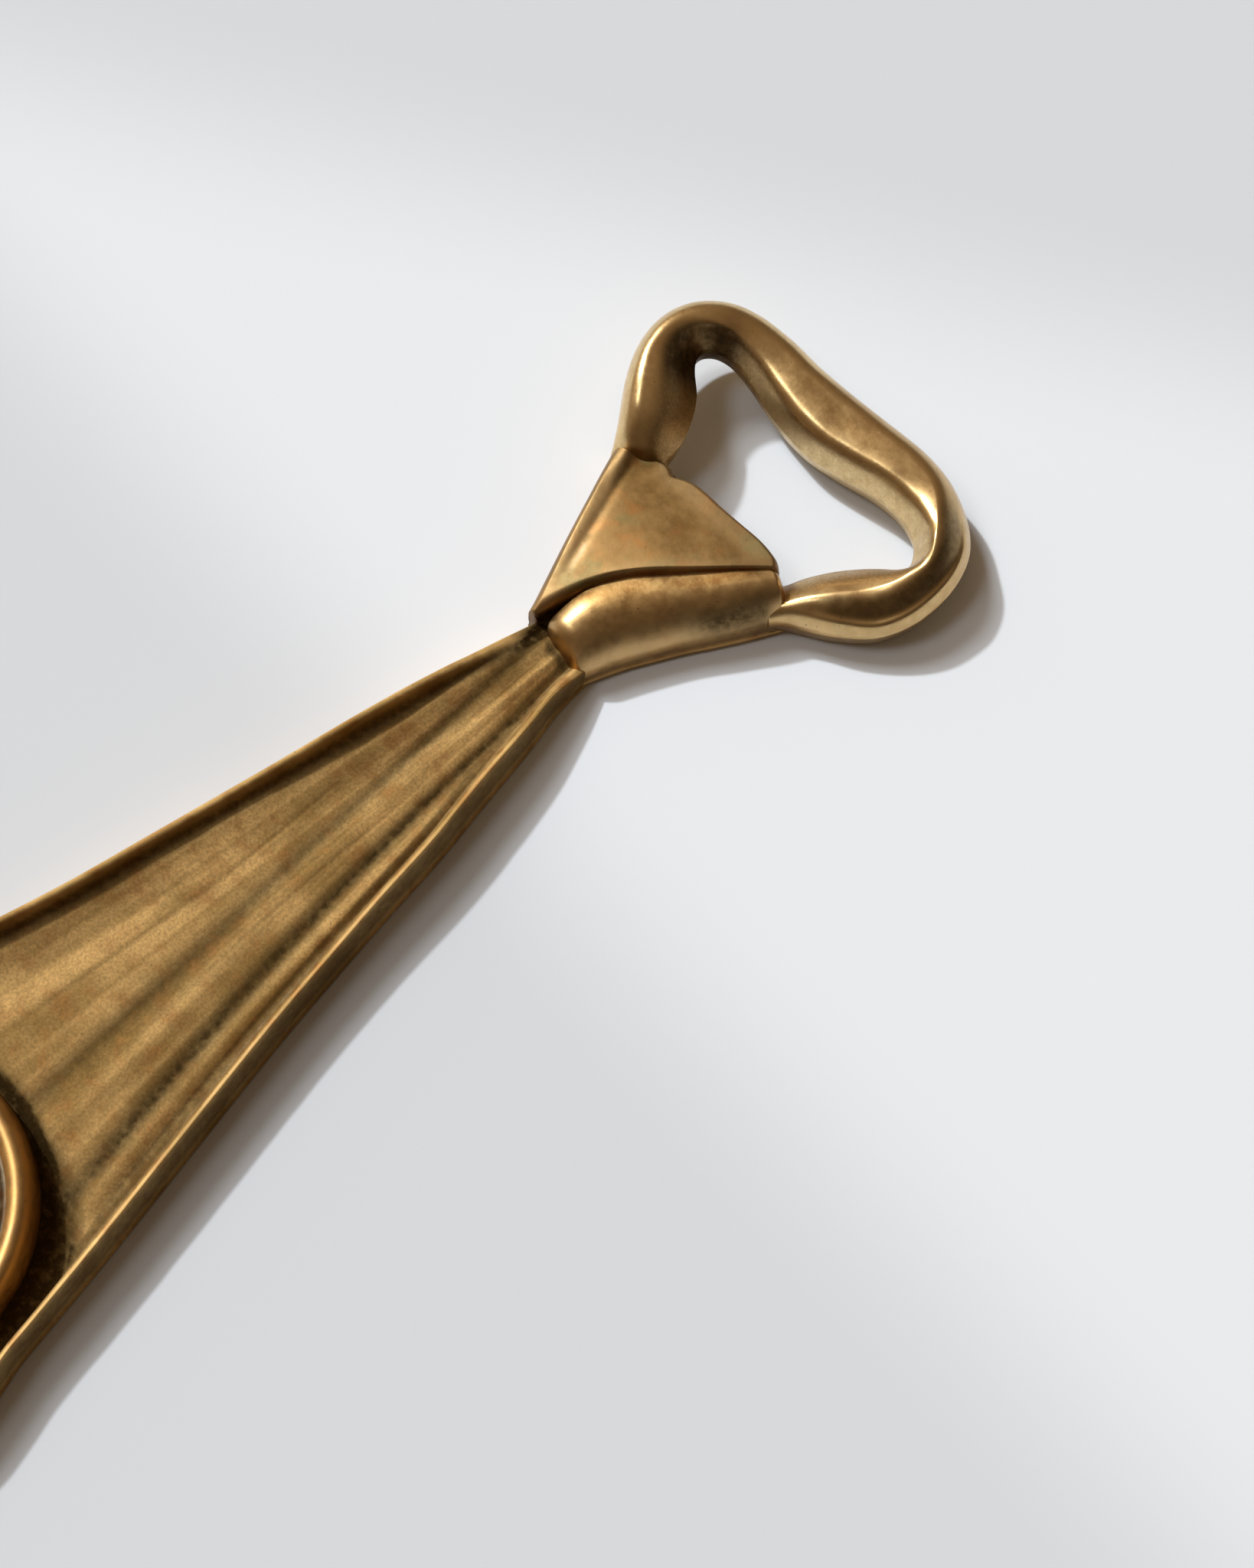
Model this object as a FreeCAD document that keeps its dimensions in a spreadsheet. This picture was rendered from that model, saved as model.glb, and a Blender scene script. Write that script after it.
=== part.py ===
"""Souvenir bottle opener in cast brass, shaped like a knotted necktie.

The opener lies on its flat back. +Z is up, +Y runs along the tie from its point
to the opener loop, and the origin is on the back face, at the middle of the
length and width. All sizes are in millimetres.

Pieces: the tie blade (handle) with a tongue, the knot body that the tongue and
the loop's two tenons go into, the front leaf and the side roll that lap over
the knot body, the opener loop, and the medallion's bezel and disc.
"""

import FreeCAD
import Part
import Sketcher
import math
import os

Vector = FreeCAD.Vector

# Driving dimensions. Heights are above the back face, y values along the tie.
DIMS = {
    # tie blade
    "waist_y": 39.3,
    "waist_half": 4.9,
    "shoulder_y": 61.5,
    "shoulder_half": 24.5,
    "tip_y": 85.98,
    "edge_radius": 4400.0,
    "shoulder_round": 3.0,
    "tip_round": 2.5,
    "rim_height": 5.2,
    "rim_round": 1.0,
    "floor_height": 2.7,
    "tray_waist_half": 2.5,
    "tray_shoulder_half": 21.8,
    "tray_shoulder_y": 60.6,
    "tray_tip_y": 82.3,
    "back_round": 0.6,
    # pleats pressed into the tray
    "pleat_start_y": 34.0,
    "pleat_end_y": 27.0,
    "pleat_start_rise": 0.45,
    "pleat_end_rise": 1.0,
    "pleat_start_half": 0.45,
    "pleat_end_half": 1.5,
    "pleat_1_start_x": -1.4,
    "pleat_1_end_x": -6.2,
    "pleat_2_start_x": 1.0,
    "pleat_2_end_x": 3.9,
    "pleat_3_start_x": 2.2,
    "pleat_3_end_x": 9.6,
    "pleat_sink": 0.3,
    # tongue and its slot in the knot
    "tongue_half": 3.0,
    "tongue_length": 11.0,
    "tongue_root": 1.0,
    "tongue_bottom": 1.2,
    "tongue_thick": 2.6,
    "fit_gap": 0.05,
    # knot
    "knot_half": 14.6,
    "knot_corner_y": 61.0,
    "lip_half": 9.4,
    "lip_y": 64.7,
    "knot_height": 5.0,
    "lip_relief": 1.6,
    "leaf_height": 3.0,
    "leaf_round": 1.3,
    "roll_height": 2.6,
    "roll_round": 1.2,
    "seam_gap": 0.12,
    "crease_radius": 42.0,
    "crease_foot_x": 3.9,
    "crease_foot_y": 42.2,
    "crease_top_x": 7.6,
    "roll_foot_setback": 1.6,
    # opener loop
    "loop_height": 7.0,
    "loop_half": 22.6,
    "side_bow_x": 22.1,
    "side_bow_y": 71.4,
    "loop_end_y": 85.0,
    "loop_round": 2.2,
    "bow_round": 3.4,
    "mouth_round": 0.8,
    "arm_out_x": 20.3,
    "arm_out_y": 67.4,
    "side_y": 75.0,
    "corner_x": 13.4,
    "corner_bow_x": 20.0,
    "corner_bow_y": 81.6,
    "dip": 0.7,
    "mouth_arm_x": 11.6,
    "mouth_arm_y": 69.2,
    "mouth_side_x": 17.4,
    "mouth_side_y": 75.2,
    "mouth_corner_x": 12.8,
    "mouth_corner_y": 77.6,
    "mouth_lip_y": 75.2,
    "tenon_radius": 1.6,
    "tenon_length": 4.0,
    "tenon_root": 1.0,
    "tenon_height": 2.7,
    # medallion
    "medal_y": 50.5,
    "dish_radius": 19.2,
    "dish_height": 2.0,
    "bezel_outer": 17.0,
    "bezel_inner": 14.4,
    "bezel_foot": 1.4,
    "bezel_height": 6.2,
    "bezel_round": 1.1,
    "disc_radius": 14.3,
    "disc_thick": 2.0,
    "stud_radius": 2.0,
    "stud_head_radius": 3.0,
    "stud_head_thick": 0.9,
    "star_rise": 0.7,
    "star_long": 9.6,
    "star_waist": 3.4,
    "bead_ring": 12.6,
    "bead_radius": 0.55,
}
PLEATS = (1, 2, 3)
STAR_POINTS = 8
BEADS = 36

doc = FreeCAD.newDocument("necktie_opener")
sheet = doc.addObject("Spreadsheet::Sheet", "Dims")
for row, (alias, number) in enumerate(DIMS.items(), start=1):
    sheet.set(f"A{row}", alias)
    sheet.set(f"B{row}", str(number))
    sheet.setAlias(f"B{row}", alias)
doc.recompute()


def value(text):
    """The number that a sum such as "- loop_half + fit_gap" comes to."""
    total, sign = 0.0, 1
    for word in text.split():
        if word in "+-":
            sign = 1 if word == "+" else -1
            continue
        total += sign * (DIMS[word] if word in DIMS else float(word))
        sign = 1
    return total


def formula(text):
    """The same sum as an expression on the spreadsheet's cells."""
    words = [f"Dims.{word}" if word in DIMS else word for word in text.split()]
    joined = " ".join(words)
    return joined[2:] if joined.startswith("+ ") else joined


def negative(text):
    """The sum with every sign turned over."""
    swapped = [{"+": "-", "-": "+"}.get(word, word) for word in text.split()]
    return " ".join(swapped) if swapped[0] in "+-" else " ".join(["-"] + swapped)


def new_body(name):
    body = doc.addObject("PartDesign::Body", name)
    body.Label = name
    return body


def plane(body, role):
    """The body's own origin plane with that role, such as XY_Plane."""
    return next(item for item in body.Origin.OriginFeatures if item.Role == role)


def new_sketch(body, name, role="XY_Plane", height=None):
    """A sketch on an origin plane, raised along its normal by a sum of cells."""
    sketch = body.newObject("Sketcher::SketchObject", name)
    sketch.AttachmentSupport = [(plane(body, role), "")]
    sketch.MapMode = "FlatFace"
    if height is not None:
        sketch.setExpression(".AttachmentOffset.Base.z", formula(height))
    return sketch


def place_point(sketch, edge, end, x_text, y_text):
    """Holds one end of a sketch edge at (x, y), each a sum of cells."""
    for kind, text in (("DistanceX", x_text), ("DistanceY", y_text)):
        number = value(text)
        if abs(number) < 1e-9:
            on_axis = -2 if kind == "DistanceX" else -1
            sketch.addConstraint(Sketcher.Constraint("PointOnObject", edge, end, on_axis))
            continue
        # A datum is positive, so a negative coordinate is measured towards the origin.
        ends = (-1, 1, edge, end) if number > 0 else (edge, end, -1, 1)
        index = sketch.addConstraint(Sketcher.Constraint(kind, *ends, abs(number)))
        sketch.setExpression(
            f"Constraints[{index}]", formula(text if number > 0 else negative(text))
        )


def outline(sketch, corners):
    """Draws a closed outline. A corner is (x, y) or (x, y, bend): bend shapes the edge
    that leaves it, as ("through", x, y) for an arc through a held point or
    ("radius", r, side) for an arc of that radius, bulging left (+1) or right (-1)."""
    count = len(corners)
    points = [Vector(value(c[0]), value(c[1]), 0) for c in corners]
    # An arc is stored counter-clockwise, so a clockwise edge starts at its second end.
    first_end = []
    for i, corner in enumerate(corners):
        start, end = points[i], points[(i + 1) % count]
        bend = corner[2] if len(corner) > 2 else None
        if bend is None:
            sketch.addGeometry(Part.LineSegment(start, end))
            first_end.append(1)
            continue
        middle = bend_middle(start, end, bend)
        clockwise = (middle - start).cross(end - middle).z < 0
        if clockwise:
            start, end = end, start
        sketch.addGeometry(Part.Arc(start, middle, end))
        first_end.append(2 if clockwise else 1)
    for i in range(count):
        after = (i + 1) % count
        ends = (i, 3 - first_end[i], after, first_end[after])
        sketch.addConstraint(Sketcher.Constraint("Coincident", *ends))
    for i, corner in enumerate(corners):
        place_point(sketch, i, first_end[i], corner[0], corner[1])
        bend = corner[2] if len(corner) > 2 else None
        if bend is not None:
            radius = sketch.Geometry[i].Radius
            index = sketch.addConstraint(Sketcher.Constraint("Radius", i, radius))
            if bend[0] == "radius":
                sketch.setExpression(f"Constraints[{index}]", formula(bend[1]))


def bend_middle(start, end, bend):
    """A point on the arc from start to end that the bend describes."""
    if bend[0] == "through":
        return Vector(value(bend[1]), value(bend[2]), 0)
    chord = end - start
    radius = value(bend[1])
    sag = radius - math.sqrt(radius**2 - chord.Length**2 / 4)
    left = Vector(-chord.y, chord.x, 0).normalize()
    return (start + end) / 2 + left * sag * bend[2]


def circle(sketch, radius, x="0", y="0"):
    """A circle whose radius and centre are sums of cells."""
    centre = Vector(value(x), value(y), 0)
    index = sketch.addGeometry(Part.Circle(centre, Vector(0, 0, 1), value(radius)))
    sized = sketch.addConstraint(Sketcher.Constraint("Radius", index, value(radius)))
    sketch.setExpression(f"Constraints[{sized}]", formula(radius))
    place_point(sketch, index, 3, x, y)


def pad(body, name, sketch, length, reverse=False):
    feature = body.newObject("PartDesign::Pad", name)
    feature.Profile = sketch
    feature.setExpression("Length", formula(length))
    feature.Reversed = reverse
    doc.recompute()
    return feature


def pocket(body, name, sketch, length, reverse=False):
    """A pocket that must take something away, checked against the volume before it."""
    before = body.Shape.Volume
    feature = body.newObject("PartDesign::Pocket", name)
    feature.Profile = sketch
    feature.setExpression("Length", formula(length))
    feature.Reversed = reverse
    doc.recompute()
    if body.Shape.Volume >= before - 1e-6:
        raise RuntimeError(f"{name} cuts nothing")
    return feature


def round_edges(body, name, radius, wanted):
    """Fillets the edges of the body's tip for which wanted(edge) is true."""
    base = body.Tip
    names = [f"Edge{i}" for i, edge in enumerate(base.Shape.Edges, start=1) if wanted(edge)]
    if not names:
        raise RuntimeError(f"{name} finds no edges")
    feature = body.newObject("PartDesign::Fillet", name)
    feature.Base = (base, names)
    feature.setExpression("Radius", formula(radius))
    doc.recompute()
    return feature


def lies_at(edge, height):
    """True if the whole edge is at that height."""
    return abs(edge.BoundBox.ZMin - height) < 1e-4 and abs(edge.BoundBox.ZMax - height) < 1e-4


def stands_at(edge, x, y):
    """True for an upright edge at (|x|, y)."""
    box = edge.BoundBox
    upright = box.ZLength > 0.5 and box.XLength < 1e-4 and box.YLength < 1e-4
    return upright and abs(abs(box.XMin) - x) < 1e-3 and abs(box.YMin - y) < 1e-3


def build_blade():
    """The tie's flaring blade: a shallow tray with raised rims, pleats and a tongue."""
    body = new_body("tie_blade")
    blank = new_sketch(body, "BladeOutline")
    outline(
        blank,
        [
            ("- waist_half", "waist_y"),
            ("waist_half", "waist_y", ("radius", "edge_radius", 1)),
            ("shoulder_half", "- shoulder_y"),
            ("0", "- tip_y"),
            ("- shoulder_half", "- shoulder_y", ("radius", "edge_radius", 1)),
        ],
    )
    pad(body, "BladeBlank", blank, "rim_height")
    round_edges(
        body,
        "ShoulderRound",
        "shoulder_round",
        lambda e: stands_at(e, value("shoulder_half"), -value("shoulder_y")),
    )
    round_edges(body, "TipRound", "tip_round", lambda e: stands_at(e, 0.0, -value("tip_y")))

    tray = new_sketch(body, "TrayOutline", height="rim_height")
    outline(
        tray,
        [
            ("- tray_waist_half", "waist_y"),
            ("tray_waist_half", "waist_y", ("radius", "edge_radius", 1)),
            ("tray_shoulder_half", "- tray_shoulder_y"),
            ("0", "- tray_tip_y"),
            ("- tray_shoulder_half", "- tray_shoulder_y", ("radius", "edge_radius", 1)),
        ],
    )
    pocket(body, "Tray", tray, "rim_height - floor_height")
    round_edges(
        body,
        "RimRound",
        "rim_round",
        lambda e: lies_at(e, value("rim_height")) and e.BoundBox.YLength > value("rim_round"),
    )

    for number in PLEATS:
        add_pleat(body, number)

    dish = new_sketch(body, "DishCircle", height="rim_height")
    circle(dish, "dish_radius", y="- medal_y")
    pocket(body, "Dish", dish, "rim_height - dish_height")
    seat = new_sketch(body, "SeatRing", height="dish_height")
    circle(seat, "bezel_outer + fit_gap", y="- medal_y")
    circle(seat, "bezel_inner - fit_gap", y="- medal_y")
    pocket(body, "Seat", seat, "dish_height - bezel_foot")
    hole = new_sketch(body, "StudHoleCircle", height="dish_height")
    circle(hole, "stud_radius + fit_gap", y="- medal_y")
    pocket(body, "StudHole", hole, "dish_height")
    sink = new_sketch(body, "StudSinkCircle")
    circle(sink, "stud_head_radius + fit_gap", y="- medal_y")
    pocket(body, "StudSink", sink, "stud_head_thick + fit_gap", reverse=True)

    tongue = new_sketch(body, "TongueOutline", height="tongue_bottom")
    outline(
        tongue,
        [
            ("- tongue_half", "waist_y - tongue_root"),
            ("- tongue_half", "waist_y + tongue_length"),
            ("tongue_half", "waist_y + tongue_length"),
            ("tongue_half", "waist_y - tongue_root"),
        ],
    )
    pad(body, "Tongue", tongue, "tongue_thick")
    return body


def add_pleat(body, number):
    """One pleat: a ridge lofted from a small section at the waist to a larger one."""
    foot = value("floor_height - pleat_sink")
    sections = []
    for end, y in (("start", "- pleat_start_y"), ("end", "pleat_end_y")):
        # The XZ plane's normal is -Y, so a height along it is minus the y value.
        sketch = new_sketch(body, f"Pleat{number}{end.title()}", "XZ_Plane", height=y)
        x, half = value(f"pleat_{number}_{end}_x"), value(f"pleat_{end}_half")
        middle = Vector(x, value(f"floor_height + pleat_{end}_rise"), 0)
        left = Vector(x - half, foot, 0)
        right = Vector(x + half, foot, 0)
        sketch.addGeometry(Part.Arc(left, middle, right))
        sketch.addGeometry(Part.LineSegment(right, left))
        sections.append(sketch)
    loft = body.newObject("PartDesign::AdditiveLoft", f"Pleat{number}")
    loft.Profile = sections[0]
    loft.Sections = [sections[1]]
    loft.Ruled = True
    doc.recompute()


def build_knot_body():
    """The knot's core: a tapered block with the cap lip, the slot and two sockets."""
    body = new_body("knot_body")
    sketch = new_sketch(body, "KnotOutline")
    outline(
        sketch,
        [
            ("- waist_half", "waist_y"),
            ("- knot_half", "knot_corner_y"),
            ("- lip_half", "lip_y"),
            ("lip_half", "lip_y"),
            ("knot_half", "knot_corner_y"),
            ("waist_half", "waist_y"),
        ],
    )
    pad(body, "KnotBlock", sketch, "knot_height")
    lip = body.Tip
    names = [
        f"Edge{i}"
        for i, e in enumerate(lip.Shape.Edges, start=1)
        if lies_at(e, 0.0) and abs(e.BoundBox.YMin - value("lip_y")) < 1e-3
    ]
    chamfer = body.newObject("PartDesign::Chamfer", "LipRelief")
    chamfer.Base = (lip, names)
    chamfer.setExpression("Size", formula("lip_relief"))
    doc.recompute()

    slot = new_sketch(body, "SlotOutline", "XZ_Plane", height="- waist_y")
    low, high = "tongue_bottom - fit_gap", "tongue_bottom + tongue_thick + fit_gap"
    outline(
        slot,
        [
            ("- tongue_half - fit_gap", low),
            ("tongue_half + fit_gap", low),
            ("tongue_half + fit_gap", high),
            ("- tongue_half - fit_gap", high),
        ],
    )
    pocket(body, "TongueSlot", slot, "tongue_length + fit_gap")
    for side in (-1, 1):
        name = "SocketLeft" if side < 0 else "SocketRight"
        add_peg(body, name, side, "PartDesign::SubtractiveCylinder", "fit_gap")
    return body


def socket_frame(side):
    """The middle of one junction face between knot and loop, and its outward direction."""
    outer = Vector(side * value("knot_half"), value("knot_corner_y"), 0)
    inner = Vector(side * value("lip_half"), value("lip_y"), 0)
    along = (outer - inner).normalize()
    outward = Vector(-along.y * side, along.x * side, 0)
    if outward.y < 0:
        outward = -outward
    return (outer + inner) / 2 + Vector(0, 0, value("tenon_height")), outward


def add_peg(body, name, side, kind, extra):
    """A tenon (additive) or its socket (subtractive) across a junction face."""
    middle, outward = socket_frame(side)
    length = value("tenon_length") + value(extra)
    peg = body.newObject(kind, name)
    peg.setExpression("Radius", formula(f"tenon_radius + {extra}"))
    peg.setExpression("Height", formula(f"tenon_length + tenon_root + {extra}"))
    turn = FreeCAD.Rotation(Vector(0, 0, 1), outward)
    peg.Placement = FreeCAD.Placement(middle - outward * length, turn)
    doc.recompute()


def crease_corners(offset):
    """Foot and top of the crease between leaf and roll, moved sideways by a sum."""
    return (
        (f"- crease_foot_x {offset}", "crease_foot_y"),
        (f"crease_top_x {offset}", "lip_y"),
    )


def build_front_leaf():
    """The triangular leaf of the knot, lapped over the core from the left."""
    body = new_body("knot_front_leaf")
    sketch = new_sketch(body, "LeafOutline", height="knot_height")
    foot, top = crease_corners("- seam_gap")
    outline(
        sketch,
        [
            (foot[0], foot[1]),
            ("- knot_half", "knot_corner_y"),
            ("- lip_half", "lip_y"),
            (top[0], top[1], ("radius", "crease_radius", -1)),
        ],
    )
    pad(body, "Leaf", sketch, "leaf_height")
    top_z = value("knot_height + leaf_height")
    round_edges(body, "LeafRound", "leaf_round", lambda e: lies_at(e, top_z))
    return body


def build_side_roll():
    """The rolled fold that runs from the waist to the right-hand junction."""
    body = new_body("knot_side_roll")
    sketch = new_sketch(body, "RollOutline", height="knot_height")
    foot, top = crease_corners("+ seam_gap")
    outline(
        sketch,
        [
            (foot[0], foot[1], ("radius", "crease_radius", 1)),
            (top[0], top[1]),
            ("lip_half", "lip_y"),
            ("knot_half", "knot_corner_y"),
            ("waist_half", "waist_y"),
            ("- crease_foot_x + roll_foot_setback", "waist_y"),
        ],
    )
    pad(body, "Roll", sketch, "roll_height")
    top_z = value("knot_height + roll_height")
    round_edges(
        body,
        "RollRound",
        "roll_round",
        lambda e: lies_at(e, top_z) and e.Length > value("knot_half"),
    )
    return body


def build_loop():
    """The opener loop: a rounded bow whose two arms end in tenons."""
    body = new_body("opener_loop")
    sketch = new_sketch(body, "LoopOutline")
    right_outer = [
        ("knot_half", "knot_corner_y"),
        ("arm_out_x", "arm_out_y", ("through", "side_bow_x", "side_bow_y")),
        ("loop_half", "side_y", ("through", "corner_bow_x", "corner_bow_y")),
        ("corner_x", "loop_end_y", ("through", "0", "loop_end_y - dip")),
    ]
    left_outer = [
        ("- corner_x", "loop_end_y", ("through", "- corner_bow_x", "corner_bow_y")),
        ("- loop_half", "side_y", ("through", "- side_bow_x", "side_bow_y")),
        ("- arm_out_x", "arm_out_y"),
        ("- knot_half", "knot_corner_y"),
    ]
    left_inner = [
        ("- lip_half", "lip_y"),
        ("- mouth_arm_x", "mouth_arm_y"),
        ("- mouth_side_x", "mouth_side_y"),
        ("- mouth_corner_x", "mouth_corner_y", ("through", "0", "mouth_lip_y")),
    ]
    right_inner = [
        ("mouth_corner_x", "mouth_corner_y"),
        ("mouth_side_x", "mouth_side_y"),
        ("mouth_arm_x", "mouth_arm_y"),
        ("lip_half", "lip_y"),
    ]
    outline(sketch, right_outer + left_outer + left_inner + right_inner)
    pad(body, "LoopBlank", sketch, "loop_height")
    round_edges(body, "BowCorners", "bow_round", lambda e: is_upright(e) and not in_mouth_corner(e))
    round_edges(body, "MouthCorners", "mouth_round", lambda e: is_upright(e) and in_mouth_corner(e))
    top_z = value("loop_height")
    round_edges(body, "LoopRound", "loop_round", lambda e: lies_at(e, top_z) and not at_junction(e))
    round_edges(body, "LoopBackRound", "back_round", lambda e: lies_at(e, 0.0) and not at_junction(e))
    for side in (-1, 1):
        name = "TenonLeft" if side < 0 else "TenonRight"
        add_peg(body, name, side, "PartDesign::AdditiveCylinder", "0")
    return body


def is_upright(edge):
    """True for a sharp upright edge of the bow, away from the two end faces."""
    box = edge.BoundBox
    upright = box.ZLength > 0.5 and box.XLength < 1e-4 and box.YLength < 1e-4
    junctions = (value("knot_half"), value("lip_half"))
    return upright and all(abs(abs(box.XMin) - x) > 1e-3 for x in junctions)


def in_mouth_corner(edge):
    """True for the edges at either end of the mouth's two tight corners."""
    x, y = abs(edge.BoundBox.XMin), edge.BoundBox.YMin
    corners = (("mouth_side_x", "mouth_side_y"), ("mouth_corner_x", "mouth_corner_y"))
    return any(math.hypot(x - value(cx), y - value(cy)) < 0.01 for cx, cy in corners)


def at_junction(edge):
    """True for an edge that lies in one of the loop's two end faces."""
    middle = edge.CenterOfMass
    for side in (-1, 1):
        point, outward = socket_frame(side)
        ends = [(v.Point - point).dot(outward) for v in edge.Vertexes]
        if max(abs(d) for d in ends) < 1e-3 and abs(middle.x) > value("lip_half"):
            return True
    return False


def build_bezel():
    """The medallion's raised ring, a revolved section with a rounded crest."""
    body = new_body("medallion_bezel")
    sketch = new_sketch(body, "BezelSection", "XZ_Plane")
    outline(
        sketch,
        [
            ("bezel_inner", "bezel_foot"),
            ("bezel_outer", "bezel_foot"),
            ("bezel_outer", "bezel_height"),
            ("bezel_inner", "bezel_height"),
        ],
    )
    ring = body.newObject("PartDesign::Revolution", "BezelRing")
    ring.Profile = sketch
    ring.ReferenceAxis = (sketch, ["V_Axis"])
    ring.Angle = 360.0
    doc.recompute()
    top_z = value("bezel_height")
    round_edges(body, "BezelRound", "bezel_round", lambda e: lies_at(e, top_z))
    body.Placement = FreeCAD.Placement(Vector(0, -value("medal_y"), 0), FreeCAD.Rotation())
    return body


def build_disc():
    """The struck disc: star, beaded border, and a stud riveted over at the back."""
    body = new_body("medallion_disc")
    plate = new_sketch(body, "DiscCircle", height="dish_height")
    circle(plate, "disc_radius")
    pad(body, "Disc", plate, "disc_thick")
    stud = new_sketch(body, "StudCircle", height="dish_height")
    circle(stud, "stud_radius")
    pad(body, "Stud", stud, "dish_height - stud_head_thick", reverse=True)
    head = new_sketch(body, "StudHeadCircle", height="stud_head_thick")
    circle(head, "stud_head_radius")
    pad(body, "StudHead", head, "stud_head_thick", reverse=True)

    face = "dish_height + disc_thick"
    ray = new_sketch(body, "StarRay", height=face)
    half_step = math.pi / STAR_POINTS
    waist = Vector(
        value("star_waist") * math.sin(half_step), value("star_waist") * math.cos(half_step), 0
    )
    corners = [
        Vector(0, 0, 0),
        waist,
        Vector(0, value("star_long"), 0),
        Vector(-waist.x, waist.y, 0),
    ]
    for start, end in zip(corners, corners[1:] + corners[:1]):
        ray.addGeometry(Part.LineSegment(start, end))
    star = pad(body, "StarPoint", ray, "star_rise")
    repeat_around(body, "Star", star, STAR_POINTS)
    bead_circle = new_sketch(body, "BeadCircle", height=face)
    circle(bead_circle, "bead_radius", y="bead_ring")
    bead = pad(body, "Bead", bead_circle, "bead_radius")
    repeat_around(body, "Beads", bead, BEADS)
    body.Placement = FreeCAD.Placement(Vector(0, -value("medal_y"), 0), FreeCAD.Rotation())
    return body


def repeat_around(body, name, feature, count):
    """Repeats a feature evenly about the body's Z axis."""
    pattern = body.newObject("PartDesign::PolarPattern", name)
    pattern.Originals = [feature]
    axis = next(item for item in body.Origin.OriginFeatures if item.Role == "Z_Axis")
    pattern.Axis = (axis, [""])
    pattern.Angle = 360.0
    pattern.Occurrences = count
    body.Tip = pattern
    doc.recompute()


def export_all(bodies):
    """Checks every object and shape, then writes one STEP file per sub-part."""
    doc.recompute()
    for item in doc.Objects:
        if "Invalid" in item.State or "Error" in item.State:
            raise RuntimeError(f"{item.Name} failed: {item.State}")
    for body in bodies:
        shape = body.Shape
        if shape.isNull() or not shape.isValid() or len(shape.Solids) != 1:
            raise RuntimeError(f"{body.Label} isn't one valid solid")
    os.makedirs("parts", exist_ok=True)
    for body in bodies:
        body.Shape.exportStep(f"parts/{body.Label}.step")
        print(f"{body.Label}: {body.Shape.Volume / 1000:.2f} cm3")


export_all(
    [
        build_blade(),
        build_knot_body(),
        build_front_leaf(),
        build_side_roll(),
        build_loop(),
        build_bezel(),
        build_disc(),
    ]
)
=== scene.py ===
"""Souvenir bottle opener in aged cast brass, shaped like a knotted necktie.

Lengths in the shape code are millimetres in the part's own frame: +X across, +Y along the
tie towards the opener's bow, +Z up from the flat back. Each piece is a closed mesh over
rings of points. One height map of the whole top then gives every piece its
creases and worn ridges, which the brass material reads.
"""

import math

import bpy
import numpy as np
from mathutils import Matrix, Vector


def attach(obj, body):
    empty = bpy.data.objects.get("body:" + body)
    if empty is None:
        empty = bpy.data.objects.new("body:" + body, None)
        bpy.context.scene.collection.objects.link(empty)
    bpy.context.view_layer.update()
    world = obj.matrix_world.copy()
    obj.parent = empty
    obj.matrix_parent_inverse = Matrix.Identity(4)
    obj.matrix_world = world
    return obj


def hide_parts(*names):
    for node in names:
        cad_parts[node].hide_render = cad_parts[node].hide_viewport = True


MM = 0.001
TAU = 2 * math.pi
DENSE_SAMPLES = 1200

# ---------------------------------------------------------------- curves and numbers


def hermite(u, start, end, start_slope, end_slope, span):
    """The cubic from start to end with those slopes, at share u of a span."""
    return (
        start * (2 * u**3 - 3 * u**2 + 1)
        + start_slope * span * (u**3 - 2 * u**2 + u)
        + end * (3 * u**2 - 2 * u**3)
        + end_slope * span * (u**3 - u**2)
    )


def spline(points, count):
    """Evenly timed samples along a smooth curve through the points, whatever their columns.
    The first two columns are the place, and set the timing."""
    points = np.array(points, float)
    steps = np.sqrt(np.linalg.norm(np.diff(points[:, :2], axis=0), axis=1))
    knots = np.concatenate([[0.0], np.cumsum(steps)])
    slopes = np.gradient(points, knots, axis=0)
    t = np.linspace(0.0, knots[-1], count)
    i = np.clip(np.searchsorted(knots, t, side="right") - 1, 0, len(points) - 2)
    span = (knots[i + 1] - knots[i])[:, None]
    u = ((t - knots[i])[:, None]) / span
    return hermite(u, points[i], points[i + 1], slopes[i], slopes[i + 1], span)


def smooth_rows(values, width):
    """The rows averaged with their neighbours under a bell of that many rows; ends stay."""
    reach = int(3 * width)
    bell = np.exp(-0.5 * (np.arange(-reach, reach + 1) / width) ** 2)
    bell /= bell.sum()
    first, last = values[:1], values[-1:]
    before = 2 * first - values[reach:0:-1]
    after = 2 * last - values[-2 : -reach - 2 : -1]
    padded = np.concatenate([before, values, after])
    return np.apply_along_axis(lambda v: np.convolve(v, bell, mode="valid"), 0, padded)


def even_path(points, count, soft=14):
    """A smooth curve through the points, resampled at even lengths. Soft rounds corners off
    over about that many of its dense samples."""
    dense = smooth_rows(spline(points, DENSE_SAMPLES), soft)
    steps = np.linalg.norm(np.diff(dense[:, :2], axis=0), axis=1)
    along = np.concatenate([[0.0], np.cumsum(steps)])
    want = np.linspace(0.0, along[-1], count)
    return np.stack([np.interp(want, along, column) for column in dense.T], axis=1)


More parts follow.
